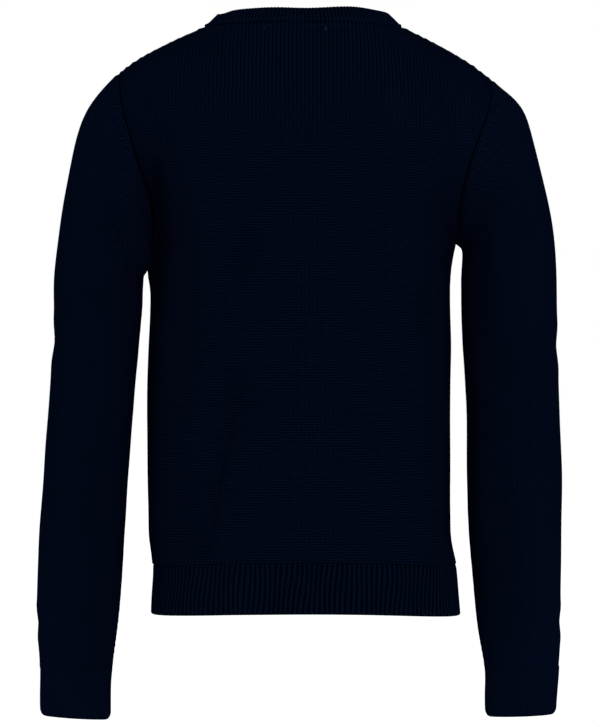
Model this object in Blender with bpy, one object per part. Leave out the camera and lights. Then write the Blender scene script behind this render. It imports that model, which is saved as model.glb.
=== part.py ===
# A child's button-through cardigan, worn shape, hollow, with no wearer in it.
# Every piece of knit is a thin closed wall. The wearer faces -Y, the left arm is
# at +X, and the origin is level with the shoulders, in the middle of the neck.
import math

import bpy
import numpy as np

MM = 0.001                # the tables and sizes below are in millimetres

SEAM_GAP = 0.36           # clear space between two pieces where they are sewn
KNIT_WALL = 2.2           # plain knit
RIB_WALL = 2.8            # 1x1 rib, thicker than the plain knit

BACK_COLUMNS = 24         # facets across the back, from side to side
FRONT_COLUMNS = 12        # facets across one front
ARMHOLE_STEPS = 9         # facets from the shoulder point to the underarm
NECKBAND_ROWS = 2
BAND_COLUMNS = 2          # facets across a front band

BODY_ROUNDNESS = 2.3      # 2 is an ellipse, more is squarer
SHOULDER_ROUNDNESS = 2.05
SHOULDER_DIP = 2.4        # how late a ring drops from its side to its middle
NECK_DIP = 1.2            # the neck seam drops at once, as a round neck does

ARMHOLE_REACH_BACK = 56.0     # how far the armhole seam runs behind the side line
ARMHOLE_REACH_FRONT = 54.0
ARMHOLE_SQUARENESS = 0.85     # 1 is an oval loop, less is fuller over the shoulder
FRONT_ARMHOLE_IN = 6.0        # the fronts are cut narrower than the back
CAP_BENDS = (1.0, 0.42, 0.12)     # how much of the armhole's bend the first sleeve rings keep

SETTLE_TIMES = 6              # how much the rows over the shoulders are evened out
SETTLE_AMOUNT = 0.5
SETTLE_COLUMNS = 3.0          # facets over which that fades out at an armhole or seam

BAND_WIDTH = 28.0             # button band and buttonhole band
BAND_EASE = 60.0              # width over which the left front dips under
NECKBAND_HEIGHT = 18.5
NECKBAND_LEAN_BACK = 45.0     # degrees in from upright
NECKBAND_LEAN_FRONT = 24.0

BUTTON_COUNT = 6
BUTTON_RADIUS = 7.5
BUTTON_THICK = 2.6
BUTTON_EDGE = 0.8             # how much its edges are rounded
BUTTON_RIM = 0.9              # flat top of the rim
BUTTON_SINK = 0.8             # how deep and how wide the slope inside the rim is
BUTTON_TOP_Z = -61.0
BUTTON_LOW_Z = -479.0
BUTTON_SIDES = 24

KNIT_CREASE = 50.0            # degrees, sharper edges than these aren't shaded smooth
BUTTON_CREASE = 35.0

# the body from the hem edge up to the underarm; the half widths differ, as the
# garment hangs a little to one side
BODY_COLUMNS = ("z_left", "x_left", "z_right", "x_right", "z_back", "y_back", "z_front", "y_front", "rows")
BODY = [
    (-498.6, 130.5, -499.6, 132.5, -494.2, 89.0, -500.0, 97.0, 0),      # hem edge
    (-456.5, 129.0, -456.5, 128.5, -451.5, 90.0, -457.0, 99.0, 2),      # top of the rib
    (-436.0, 131.5, -436.0, 124.5, -432.0, 90.0, -436.5, 100.0, 1),
    (-400.0, 132.5, -400.0, 123.5, -397.5, 88.0, -400.0, 100.0, 2),
    (-318.0, 133.5, -318.0, 123.5, -318.0, 84.5, -318.0, 98.0, 3),      # waist
    (-262.0, 131.5, -262.0, 124.0, -262.0, 85.5, -263.0, 97.5, 2),
    (-231.0, 130.6, -218.0, 123.4, -226.0, 88.5, -230.0, 97.5, 1),
    (-209.0, 133.5, -188.0, 128.6, -200.0, 91.0, -206.0, 97.5, 1),      # underarm
]

# the armhole, by the angle round it: 180 is the underarm, 0 the shoulder point
ARMHOLE_COLUMNS = ("angle", "x_left", "x_right", "z_back", "y_back", "z_front", "y_front")
ARMHOLE = [
    (180, 133.5, 128.6, -200.0, 91.0, -206.0, 97.5),
    (150, 129.6, 127.4, -190.0, 92.2, -199.0, 97.8),
    (120, 127.5, 127.5, -164.0, 94.0, -182.0, 98.0),
    (90, 133.5, 137.0, -128.0, 94.5, -158.0, 97.0),
    (60, 147.0, 149.5, -92.0, 92.0, -133.0, 93.5),
    (30, 155.0, 157.0, -64.0, 87.0, -114.0, 88.0),
    (0, 157.5, 158.0, -52.0, 83.5, -104.0, 84.5),
]

# the shoulder seams, from the shoulder point up to the neck
SHOULDER_COLUMNS = ("z_left", "x_left", "z_right", "x_right", "z_back", "y_back", "z_front", "y_front")
SHOULDER = [
    (-40.0, 157.5, -45.0, 158.0, -52.0, 83.5, -104.0, 84.5),
    (-29.5, 144.0, -32.5, 141.5, -41.0, 79.0, -93.0, 80.0),
    (-20.5, 127.5, -21.0, 122.0, -28.0, 73.0, -82.0, 76.0),
    (-11.5, 108.5, -11.5, 105.0, -14.0, 66.5, -72.0, 72.0),
    (-2.5, 86.5, -2.5, 84.0, -1.0, 60.0, -62.0, 68.0),
]

# each sleeve below its armhole: the outer line, the underarm line, how far the
# arm has come forward, and how far the ring reaches behind and in front of that
SLEEVE_COLUMNS = ("x_out", "z_out", "x_in", "z_in", "y_mid", "back", "front", "rows")
SLEEVE_LEFT = [
    (171.0, -53.5, 134.4, -211.5, 0.0, 54.5, 53.0, 1),
    (184.5, -71.0, 135.0, -213.5, 0.0, 52.5, 52.0, 1),
    (194.0, -97.0, 135.4, -216.0, 0.0, 51.5, 51.0, 1),
    (201.0, -131.0, 136.0, -219.5, 0.0, 51.0, 50.5, 1),
    (207.0, -166.0, 136.8, -225.0, -0.5, 50.0, 50.0, 1),
    (212.0, -206.0, 138.0, -236.0, -1.0, 48.5, 49.0, 1),
    (213.6, -262.0, 141.2, -270.0, -2.0, 46.0, 47.0, 2),
    (217.0, -318.0, 145.4, -320.0, -3.5, 43.5, 44.5, 1),
    (223.0, -393.0, 151.0, -393.0, -6.0, 39.5, 41.0, 2),
    (228.2, -470.0, 156.0, -470.0, -11.0, 34.5, 36.0, 2),
    (228.0, -512.0, 159.6, -512.0, -15.0, 28.5, 29.5, 1),
    (226.4, -546.5, 164.2, -547.5, -18.0, 21.5, 21.5, 1),      # top of the cuff
    (226.2, -588.5, 165.6, -592.0, -21.0, 20.0, 20.0, 2),      # cuff edge
]
SLEEVE_RIGHT = [
    (169.0, -54.5, 130.8, -190.5, 0.0, 54.5, 53.0, 1),
    (184.5, -71.0, 131.6, -192.5, 0.0, 52.5, 52.0, 1),
    (193.8, -97.0, 132.2, -195.0, 0.0, 51.5, 51.0, 1),
    (203.0, -131.0, 132.4, -199.0, 0.0, 51.0, 50.5, 1),
    (210.0, -166.0, 132.5, -206.0, -0.5, 50.0, 50.0, 1),
    (213.8, -206.0, 132.8, -222.0, -1.0, 48.5, 49.0, 1),
    (215.0, -262.0, 134.6, -266.0, -2.0, 46.0, 47.0, 2),
    (216.8, -318.0, 137.7, -318.0, -3.5, 43.5, 44.5, 1),
    (219.3, -400.0, 138.8, -400.0, -6.0, 39.5, 41.0, 2),
    (218.4, -475.0, 144.2, -475.0, -11.0, 34.5, 36.0, 2),
    (218.4, -515.0, 148.4, -515.0, -15.0, 28.5, 29.5, 1),
    (217.4, -545.5, 153.8, -546.0, -18.0, 21.5, 21.5, 1),
    (215.6, -587.5, 154.6, -589.5, -21.0, 20.0, 20.0, 2),
]

# colour and roughness
FINISHES = {
    "knit": ((0.0018, 0.0032, 0.0085, 1.0), 0.9),
    "rib": ((0.0016, 0.0028, 0.0075, 1.0), 0.9),
    "button": ((0.0040, 0.0050, 0.0100, 1.0), 0.35),
}


def clear_scene():
    for item in list(bpy.data.objects):
        bpy.data.objects.remove(item)


def slopes(places, values):
    """Slopes of a smooth curve that never overshoots its own points."""
    step = np.diff(places)
    rise = np.diff(values) / step
    tilt = np.zeros(len(places))
    tilt[0] = rise[0]
    tilt[-1] = rise[-1]
    for i in range(1, len(places) - 1):
        if rise[i - 1] * rise[i] > 0:
            first = 2 * step[i] + step[i - 1]
            second = step[i] + 2 * step[i - 1]
            tilt[i] = (first + second) / (first / rise[i - 1] + second / rise[i])
    return tilt


def smooth_through(places, values, wanted):
    """Values at the wanted places on that curve."""
    places = np.asarray(places, float)
    values = np.asarray(values, float)
    wanted = np.asarray(wanted, float)
    tilt = slopes(places, values)
    at = np.clip(np.searchsorted(places, wanted) - 1, 0, len(places) - 2)
    step = places[at + 1] - places[at]
    t = (wanted - places[at]) / step
    return ((2 * t ** 3 - 3 * t ** 2 + 1) * values[at]
            + (t ** 3 - 2 * t ** 2 + t) * step * tilt[at]
            + (3 * t ** 2 - 2 * t ** 3) * values[at + 1]
            + (t ** 3 - t ** 2) * step * tilt[at + 1])


def body_levels():
    """Every ring of the body, from the hem edge to the neck, as one dict of columns."""
    tall = [0.0]
    for row in BODY[1:]:
        tall.append(tall[-1] + row[-1])
    wanted = np.arange(0, tall[-1] + 1)
    level = {}
    for i, name in enumerate(BODY_COLUMNS[:-1]):
        level[name] = smooth_through(tall, [row[i] for row in BODY], wanted)
    level["reach_back"] = np.zeros(len(wanted))
    level["reach_front"] = np.zeros(len(wanted))
    level["narrow_front"] = np.zeros(len(wanted))

    angle = np.linspace(180, 0, ARMHOLE_STEPS + 1)[1:]
    turn = np.radians(angle)
    keys = [180 - row[0] for row in ARMHOLE]
    armhole = {}
    for i, name in enumerate(ARMHOLE_COLUMNS[1:], start=1):
        armhole[name] = smooth_through(keys, [row[i] for row in ARMHOLE], 180 - angle)
    for side in ("left", "right"):
        top = SHOULDER[0][SHOULDER_COLUMNS.index("z_" + side)]
        low = level["z_" + side][-1]
        armhole["z_" + side] = top + (low - top) * (1 - np.cos(turn)) / 2
    swing = np.clip(np.sin(turn), 0, 1) ** ARMHOLE_SQUARENESS
    armhole["reach_back"] = ARMHOLE_REACH_BACK * swing
    armhole["reach_front"] = ARMHOLE_REACH_FRONT * swing
    armhole["narrow_front"] = FRONT_ARMHOLE_IN * np.sin(turn) ** 2

    shoulder = {}
    for i, name in enumerate(SHOULDER_COLUMNS):
        shoulder[name] = np.array([row[i] for row in SHOULDER], float)[1:]
    for name in ("reach_back", "reach_front", "narrow_front"):
        shoulder[name] = np.zeros(len(SHOULDER) - 1)

    whole = {name: np.concatenate([level[name], armhole[name], shoulder[name]]) for name in level}
    count = [len(level["z_left"]), len(angle), len(SHOULDER) - 1]
    whole["roundness"] = np.concatenate([
        np.full(count[0], BODY_ROUNDNESS),
        np.linspace(BODY_ROUNDNESS, SHOULDER_ROUNDNESS, count[1]),
        np.full(count[2], SHOULDER_ROUNDNESS)])
    whole["dip"] = np.concatenate([
        np.full(count[0] + count[1], SHOULDER_DIP),
        np.linspace(SHOULDER_DIP, NECK_DIP, count[2] + 1)[1:]])
    return whole, count[0] - 1


def half_row(level, i, side, face, steps, stop_at):
    """One half of a ring, from its side or armhole edge in to x = stop_at."""
    power = 2 / level["roundness"][i]
    edge_x = level["x_" + side][i]
    if face == "front":
        edge_x = edge_x - level["narrow_front"][i]
    depth = level["y_" + face][i]
    reach = level["reach_" + face][i]
    first = math.asin(min((reach / depth) ** (1 / power), 1.0))
    wide = edge_x / math.cos(first) ** power
    last = math.acos((stop_at / wide) ** (1 / power)) if stop_at > 0 else math.pi / 2
    turn = np.linspace(first, last, steps + 1)
    x = wide * np.cos(turn) ** power
    y = depth * np.sin(turn) ** power
    x[0], y[0] = edge_x, reach
    if stop_at == 0:
        x[-1] = 0.0
    drop = np.sin(turn) ** level["dip"][i]
    share = (drop - drop[0]) / (drop[-1] - drop[0])
    z_edge = level["z_" + side][i]
    z = z_edge + (level["z_" + face][i] - z_edge) * share
    sign_x = 1 if side == "left" else -1
    sign_y = 1 if face == "back" else -1
    return np.stack([sign_x * x, sign_y * y, z], axis=1)


def back_rows(level, rows):
    out = []
    for i in rows:
        left = half_row(level, i, "left", "back", BACK_COLUMNS // 2, 0)
        right = half_row(level, i, "right", "back", BACK_COLUMNS // 2, 0)
        out.append(np.concatenate([left, right[::-1][1:]]))
    return np.array(out)


def front_rows(level, rows, side):
    """Columns run from the side seam to the front band."""
    out = []
    for i in rows:
        row = half_row(level, i, side, "front", FRONT_COLUMNS, BAND_WIDTH / 2)
        if side == "left":
            near = np.clip(1 - (row[:, 0] - BAND_WIDTH / 2) / BAND_EASE, 0, 1)
            row[:, 1] += (RIB_WALL + 2 * SEAM_GAP) * near * near * (3 - 2 * near)
        out.append(row)
    return np.array(out)


def settle(grid, first, edge_columns):
    """Evens out the rows above the underarm, less and less towards the fixed edges."""
    rows, columns = grid.shape[:2]
    hold = np.ones(columns)
    for column in edge_columns:
        distance = np.abs(np.arange(columns) - column % columns)
        hold = np.minimum(hold, np.clip(distance / SETTLE_COLUMNS, 0, 1))
    hold = hold[None, :, None] * SETTLE_AMOUNT
    for _ in range(SETTLE_TIMES):
        middle = (grid[first - 1:-2] + grid[first + 1:]) / 2
        grid[first:-1] += (middle - grid[first:-1]) * hold


def neckband_rows(seam):
    """The band stands up from the neck seam and leans in towards the neck."""
    middle = np.array([0.0, (seam[:, 1].max() + seam[:, 1].min()) / 2])
    inward = middle - seam[:, :2]
    inward /= np.linalg.norm(inward, axis=1)[:, None]
    frontness = np.clip(-seam[:, 1] / abs(seam[:, 1]).max(), 0, 1)
    lean = np.radians(NECKBAND_LEAN_BACK + (NECKBAND_LEAN_FRONT - NECKBAND_LEAN_BACK) * frontness)
    rise = np.column_stack([inward * np.sin(lean)[:, None], np.cos(lean)])
    steps = np.linspace(0, NECKBAND_HEIGHT, NECKBAND_ROWS + 1)
    return np.array([seam + rise * step for step in steps])


def sleeve_rings(table, sign_x, armhole):
    """The armhole loop first, then one ring per row, down to the cuff edge."""
    round_count = len(armhole)
    turn = np.arange(round_count) * 2 * math.pi / round_count
    top, low = armhole[0], armhole[round_count // 2]
    first = (top[0] * sign_x, top[2], low[0] * sign_x, low[2],
             0.0, ARMHOLE_REACH_BACK, ARMHOLE_REACH_FRONT, 0)
    keys = [first] + list(table)
    along = [0.0]
    for row in table:
        along.append(along[-1] + row[-1])
    wanted = np.arange(0, along[-1] + 1)
    column = {}
    for i, name in enumerate(SLEEVE_COLUMNS[:-1]):
        column[name] = smooth_through(along, [row[i] for row in keys], wanted)
    rings = []
    for i in range(len(wanted)):
        out = np.array([sign_x * column["x_out"][i], column["y_mid"][i], column["z_out"][i]])
        under = np.array([sign_x * column["x_in"][i], column["y_mid"][i], column["z_in"][i]])
        reach = np.where(np.sin(turn) > 0, column["back"][i], column["front"][i])
        ring = (out + under) / 2 + np.outer(np.cos(turn), (out - under) / 2)
        ring[:, 1] += reach * np.sin(turn)
        rings.append(ring)
    rings = np.array(rings)
    # the armhole isn't flat, and that fades out down the cap
    bend = armhole - rings[0]
    for i, kept in enumerate(CAP_BENDS):
        rings[i] += bend * kept
    return rings


def vertex_normals(grid, tube):
    """Normals of a grid of points, its rows running up and its columns across."""
    total = np.zeros_like(grid)
    rows, columns = grid.shape[:2]
    across = columns if tube else columns - 1
    for i in range(rows - 1):
        for j in range(across):
            k = (j + 1) % columns
            diagonal_a = grid[i + 1, k] - grid[i, j]
            diagonal_b = grid[i + 1, j] - grid[i, k]
            facet = np.cross(diagonal_a, diagonal_b)
            facet /= max(np.linalg.norm(facet), 1e-12)
            for corner in ((i, j), (i, k), (i + 1, j), (i + 1, k)):
                total[corner] += facet
    return total / np.linalg.norm(total, axis=2)[:, :, None]


def share_normals(pieces):
    """Pieces that meet at a point get one normal there, so that their edges stay parallel.
    The body counts once there and the sleeve once, so the cloth turns down at the underarm."""
    shared = {}
    for name, piece in pieces.items():
        limb = "arm" if name.startswith(("sleeve", "cuff")) else "body"
        for spot, normal in zip(piece["grid"].reshape(-1, 3), piece["normal"].reshape(-1, 3)):
            sides = shared.setdefault(tuple(np.round(spot, 3)), {})
            sides[limb] = sides.get(limb, 0) + normal
    for piece in pieces.values():
        flat = piece["normal"].reshape(-1, 3)
        for i, spot in enumerate(piece["grid"].reshape(-1, 3)):
            sides = shared[tuple(np.round(spot, 3))].values()
            normal = sum(side / np.linalg.norm(side) for side in sides)
            flat[i] = normal / np.linalg.norm(normal)


def pull_in(grid, tube):
    """Shift of each edge point, along the cloth, that opens half the seam gap."""
    shift = np.zeros_like(grid)

    def edge(points, inner, closed):
        if closed:
            tangent = np.roll(points, -1, axis=0) - np.roll(points, 1, axis=0)
        else:
            tangent = np.gradient(points, axis=0)
        tangent /= np.linalg.norm(tangent, axis=1)[:, None]
        away = inner - points
        away -= tangent * np.sum(away * tangent, axis=1)[:, None]
        away /= np.linalg.norm(away, axis=1)[:, None]
        return away * SEAM_GAP / 2

    shift[0] += edge(grid[0], grid[1], tube)
    shift[-1] += edge(grid[-1], grid[-2], tube)
    if not tube:
        shift[:, 0] += edge(grid[:, 0], grid[:, 1], False)
        shift[:, -1] += edge(grid[:, -1], grid[:, -2], False)
    return shift


def wall_object(name, piece, material):
    """A closed wall: the outer grid, the same grid moved in, and the edges between."""
    outer = piece["grid"] + piece["shift"]
    inner = outer - piece["normal"] * piece["wall"]
    rows, columns = outer.shape[:2]
    tube = piece["tube"]
    count = rows * columns
    points = np.concatenate([outer.reshape(-1, 3), inner.reshape(-1, 3)]) * MM
    across = columns if tube else columns - 1
    faces = []

    def at(i, j, layer):
        return layer * count + i * columns + j % columns

    for i in range(rows - 1):
        for j in range(across):
            faces.append((at(i, j, 0), at(i, j + 1, 0), at(i + 1, j + 1, 0), at(i + 1, j, 0)))
            faces.append((at(i, j, 1), at(i + 1, j, 1), at(i + 1, j + 1, 1), at(i, j + 1, 1)))
    for j in range(across):
        faces.append((at(0, j + 1, 0), at(0, j, 0), at(0, j, 1), at(0, j + 1, 1)))
        last = rows - 1
        faces.append((at(last, j, 0), at(last, j + 1, 0), at(last, j + 1, 1), at(last, j, 1)))
    if not tube:
        for i in range(rows - 1):
            faces.append((at(i, 0, 0), at(i + 1, 0, 0), at(i + 1, 0, 1), at(i, 0, 1)))
            last = columns - 1
            faces.append((at(i + 1, last, 0), at(i, last, 0), at(i, last, 1), at(i + 1, last, 1)))
    mesh = bpy.data.meshes.new(name)
    mesh.from_pydata([tuple(p) for p in points], [], faces)
    mesh.materials.append(material)
    mesh.shade_smooth()
    mesh.set_sharp_from_angle(angle=math.radians(KNIT_CREASE))
    item = bpy.data.objects.new(name, mesh)
    bpy.context.scene.collection.objects.link(item)
    return item


def knit_pieces():
    """The grid of every piece of knit, in the order it would be sewn."""
    level, underarm = body_levels()
    rib_top = BODY[1][-1]
    last = len(level["z_left"]) - 1
    shoulder_point = underarm + ARMHOLE_STEPS
    rib = range(0, rib_top + 1)
    body = range(rib_top, last + 1)
    pieces = {}

    def add(name, grid, wall, look, tube=False):
        pieces[name] = {"grid": grid, "wall": wall, "look": look, "tube": tube}

    back = back_rows(level, body)
    settle(back, underarm - rib_top, (0, -1))
    front = {side: front_rows(level, body, side) for side in ("left", "right")}
    for grid in front.values():
        settle(grid, underarm - rib_top, (0,))
    hem = {side: front_rows(level, rib, side) for side in ("left", "right")}
    add("back", back, KNIT_WALL, "knit")
    add("hem_rib_back", back_rows(level, rib), RIB_WALL, "rib")
    # the left front's columns are turned round, so that both fronts run the same way
    add("front_left", front["left"][:, ::-1], KNIT_WALL, "knit")
    add("front_right", front["right"], KNIT_WALL, "knit")
    add("hem_rib_front_left", hem["left"][:, ::-1], RIB_WALL, "rib")
    add("hem_rib_front_right", hem["right"], RIB_WALL, "rib")

    # the neck seam: up the left front, round the back and down the right front
    seam = np.concatenate([front["left"][-1][::-1], back[-1][1:], front["right"][-1][1:]])
    neck = neckband_rows(seam)
    add("neckband", neck, RIB_WALL, "rib")

    # each front band runs from the hem edge up past the end of the neckband
    across = np.linspace(0, BAND_WIDTH, BAND_COLUMNS + 1)
    for name, side, end, sign in (("button_band", "left", 0, -1), ("buttonhole_band", "right", -1, 1)):
        seam = np.concatenate([hem[side][:-1, -1], front[side][:, -1], neck[1:, end]])
        strip = np.stack([seam + np.array([sign * step, 0.0, 0.0]) for step in across], axis=1)
        add(name, strip[:, ::-1] if side == "left" else strip, RIB_WALL, "rib")

    for side, sign, table in (("left", 1, SLEEVE_LEFT), ("right", -1, SLEEVE_RIGHT)):
        rows = slice(underarm - rib_top, shoulder_point - rib_top + 1)
        back_edge = back[rows, 0 if side == "left" else -1][::-1]
        front_edge = front[side][rows, 0]
        loop = np.concatenate([back_edge, front_edge[1:-1]])
        rings = sleeve_rings(table, sign, loop)
        if side == "left":
            rings = rings[:, ::-1]
        cuff_rows = table[-1][-1]
        add("sleeve_" + side, rings[:-cuff_rows], KNIT_WALL, "knit", True)
        add("cuff_" + side, rings[-cuff_rows - 1:], RIB_WALL, "rib", True)
    return pieces, underarm - rib_top


def face_out(pieces):
    """Turns the columns round where a grid's normals point into the garment."""
    for piece in pieces.values():
        grid = piece["grid"]
        piece["normal"] = vertex_normals(grid, piece["tube"])
        middle = grid.mean(axis=1)[:, None] if piece["tube"] else grid * np.array([0.0, 0.0, 1.0])
        if np.sum((grid - middle) * piece["normal"]) < 0:
            piece["grid"] = grid[:, ::-1].copy()
            piece["normal"] = -piece["normal"][:, ::-1].copy()


def ease_underarm(pieces, first_row):
    """Near the underarm the sleeve hangs beside the body, so the gap there opens sideways."""
    angle = np.linspace(math.pi, 0, ARMHOLE_STEPS + 1)
    amount = SEAM_GAP / 2 * np.sin(angle / 2) ** 2
    rows = slice(first_row, first_row + ARMHOLE_STEPS + 1)
    for name, piece in pieces.items():
        if name in ("back", "front_left", "front_right"):
            for column in (0, -1):
                edge = piece["grid"][rows, column]
                if abs(edge[0, 0]) > BAND_WIDTH:
                    piece["shift"][rows, column, 0] -= np.sign(edge[:, 0]) * amount
        if name.startswith("sleeve"):
            ring = piece["grid"][0]
            low, high = ring[:, 2].min(), ring[:, 2].max()
            share = (high - ring[:, 2]) / (high - low)
            piece["shift"][0, :, 0] += np.sign(ring[:, 0]) * SEAM_GAP / 2 * share


def make_material(name, finish):
    colour, roughness = FINISHES[finish]
    material = bpy.data.materials.new(name)
    material.use_nodes = True
    shader = material.node_tree.nodes["Principled BSDF"]
    shader.inputs["Base Color"].default_value = colour
    shader.inputs["Roughness"].default_value = roughness
    shader.inputs["Metallic"].default_value = 0.0
    return material


def make_buttons(band, material):
    """Plain buttons with a sunk middle, lying on the outer band."""
    middle = band["grid"][:, band["grid"].shape[1] // 2]
    reach = BUTTON_RADIUS
    flat = BUTTON_RADIUS - BUTTON_EDGE
    inside = flat - BUTTON_RIM
    sunk = BUTTON_THICK - BUTTON_SINK
    profile = [
        (flat, 0.0), (reach, BUTTON_EDGE), (reach, BUTTON_THICK - BUTTON_EDGE), (flat, BUTTON_THICK),
        (inside, BUTTON_THICK), (inside - BUTTON_SINK, sunk),
    ]
    for number, z in enumerate(np.linspace(BUTTON_TOP_Z, BUTTON_LOW_Z, BUTTON_COUNT), start=1):
        low, y, high = np.interp((z - reach, z, z + reach), middle[:, 2], middle[:, 1])
        tilt = (high - low) / (2 * reach)
        up = np.array([0.0, tilt, 1.0]) / math.hypot(tilt, 1.0)
        out = np.array([0.0, -up[2], up[1]])
        side = np.cross(up, out)
        # the band is curved, so the button stands off by what it bends under it
        bend = abs((low + high) / 2 - y)
        base = np.array([0.0, y, z]) + out * (SEAM_GAP + bend)
        points, faces = [base], []
        for radius, height in profile:
            for k in range(BUTTON_SIDES):
                turn = 2 * math.pi * k / BUTTON_SIDES
                points.append(base + out * height + (side * math.cos(turn) + up * math.sin(turn)) * radius)
        points.append(base + out * sunk)
        rings = len(profile)
        for k in range(BUTTON_SIDES):
            n = (k + 1) % BUTTON_SIDES
            faces.append((0, 1 + n, 1 + k))
            for r in range(rings - 1):
                a = 1 + r * BUTTON_SIDES
                b = a + BUTTON_SIDES
                faces.append((a + k, a + n, b + n, b + k))
            top = 1 + (rings - 1) * BUTTON_SIDES
            faces.append((top + k, top + n, len(points) - 1))
        mesh = bpy.data.meshes.new("button_%d" % number)
        mesh.from_pydata([tuple(p * MM) for p in points], [], faces)
        mesh.materials.append(material)
        mesh.shade_smooth()
        mesh.set_sharp_from_angle(angle=math.radians(BUTTON_CREASE))
        item = bpy.data.objects.new("button_%d" % number, mesh)
        bpy.context.scene.collection.objects.link(item)


def main():
    clear_scene()
    pieces, first_row = knit_pieces()
    face_out(pieces)
    share_normals(pieces)
    for piece in pieces.values():
        piece["shift"] = pull_in(piece["grid"], piece["tube"])
    ease_underarm(pieces, first_row)
    for name, piece in pieces.items():
        wall_object(name, piece, make_material(name + "_" + piece["look"], piece["look"]))
    make_buttons(pieces["buttonhole_band"], make_material("button_plastic", "button"))


main()
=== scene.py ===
import math
import bpy
import numpy as np
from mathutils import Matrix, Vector


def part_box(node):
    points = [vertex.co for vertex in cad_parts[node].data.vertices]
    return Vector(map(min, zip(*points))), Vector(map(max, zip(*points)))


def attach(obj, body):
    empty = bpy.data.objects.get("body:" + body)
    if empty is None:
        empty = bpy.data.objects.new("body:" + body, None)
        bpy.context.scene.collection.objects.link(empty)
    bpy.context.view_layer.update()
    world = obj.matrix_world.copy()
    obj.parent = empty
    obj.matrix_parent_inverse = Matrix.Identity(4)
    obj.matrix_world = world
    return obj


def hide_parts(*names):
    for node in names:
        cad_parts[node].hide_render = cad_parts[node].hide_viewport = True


# A child's dark navy cardigan, filled out as if worn, hollow, seen from behind.
# The wearer faces -Y and the left arm is at +X. All sizes below are in millimetres.

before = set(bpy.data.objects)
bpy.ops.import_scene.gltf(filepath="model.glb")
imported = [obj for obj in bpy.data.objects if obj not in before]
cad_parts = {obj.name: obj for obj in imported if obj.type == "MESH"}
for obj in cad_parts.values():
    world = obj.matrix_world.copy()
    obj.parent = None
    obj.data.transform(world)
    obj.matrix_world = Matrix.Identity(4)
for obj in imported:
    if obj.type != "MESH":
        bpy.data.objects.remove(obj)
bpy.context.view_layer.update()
mm = 0.001
print("frame loaded:", len(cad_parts), "nodes")

# the cut: the same form as the solids, row by row

cut = {
    "backColumns": 24,
    "frontColumns": 12,
    "armholeSteps": 9,            # rows from the underarm to the shoulder point
    "bodyRoundness": 2.3,         # 2 is an ellipse, more is squarer
    "shoulderRoundness": 2.05,
    "shoulderDip": 2.4,           # how late a row drops from its side to its middle
    "neckDip": 1.2,
    "reachBack": 56.0,            # how far the armhole runs behind the side line
    "reachFront": 54.0,
    "squareness": 0.85,
    "frontIn": 6.0,               # the fronts are narrower at the armhole
    "settleTimes": 6,             # how the rows above the underarm are evened out
    "settleAmount": 0.5,
    "settleColumns": 3.0,
    "capBends": (1.0, 0.42, 0.12),      # what the sleeve's first rings keep of the armhole's bend
    "bandWidth": 28.0,
    "bandEase": 60.0,             # where the left front dips under the band
    "bandDrop": 3.52,
    "neckHeight": 18.5,
    "neckSteps": 2,
    "neckLeanBack": 45.0,         # degrees in from upright
    "neckLeanFront": 24.0,
}

# rings of the body, from the hem edge up to the underarm
bodyNames = ("zLeft", "xLeft", "zRight", "xRight", "zBack", "yBack", "zFront", "yFront", "rows")
bodyTable = [
    (-498.6, 130.5, -499.6, 132.5, -494.2, 89.0, -500.0, 97.0, 0),      # hem edge
    (-456.5, 129.0, -456.5, 128.5, -451.5, 90.0, -457.0, 99.0, 2),      # top of the rib
    (-436.0, 131.5, -436.0, 124.5, -432.0, 90.0, -436.5, 100.0, 1),
    (-400.0, 132.5, -400.0, 123.5, -397.5, 88.0, -400.0, 100.0, 2),
    (-318.0, 133.5, -318.0, 123.5, -318.0, 84.5, -318.0, 98.0, 3),      # waist
    (-262.0, 131.5, -262.0, 124.0, -262.0, 85.5, -263.0, 97.5, 2),
    (-231.0, 130.6, -218.0, 123.4, -226.0, 88.5, -230.0, 97.5, 1),
    (-208.0, 133.5, -185.5, 128.4, -200.0, 91.0, -206.0, 97.5, 1),      # underarm
]
hemRows = 2

# the armhole by its angle: 180 is the underarm, 0 the shoulder point
armholeNames = ("angle", "xLeft", "xRight", "zBack", "yBack", "zFront", "yFront")
armholeTable = [
    (180, 133.5, 128.4, -200.0, 91.0, -206.0, 97.5),
    (150, 129.6, 129.0, -190.0, 92.2, -199.0, 97.8),
    (120, 128.2, 131.0, -164.0, 94.0, -182.0, 98.0),
    (90, 135.5, 140.0, -128.0, 94.5, -158.0, 97.0),
    (75, 144.5, 146.5, -110.0, 93.4, -145.5, 95.4),
    (60, 150.5, 153.0, -92.0, 92.0, -133.0, 93.5),
    (30, 156.5, 158.5, -64.0, 87.0, -114.0, 88.0),
    (0, 157.5, 158.0, -52.0, 83.5, -104.0, 84.5),
]

# the shoulder seams, from the shoulder point up to the neck
shoulderNames = ("zLeft", "xLeft", "zRight", "xRight", "zBack", "yBack", "zFront", "yFront")
shoulderTable = [
    (-40.0, 157.5, -45.0, 158.0, -52.0, 83.5, -104.0, 84.5),
    (-29.5, 144.0, -32.5, 141.5, -41.0, 79.0, -93.0, 80.0),
    (-20.5, 127.5, -21.0, 122.0, -28.0, 73.0, -82.0, 76.0),
    (-11.5, 108.5, -11.5, 105.0, -14.0, 66.5, -72.0, 72.0),
    (-2.5, 86.5, -2.5, 84.0, -1.0, 60.0, -62.0, 68.0),
]

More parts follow.
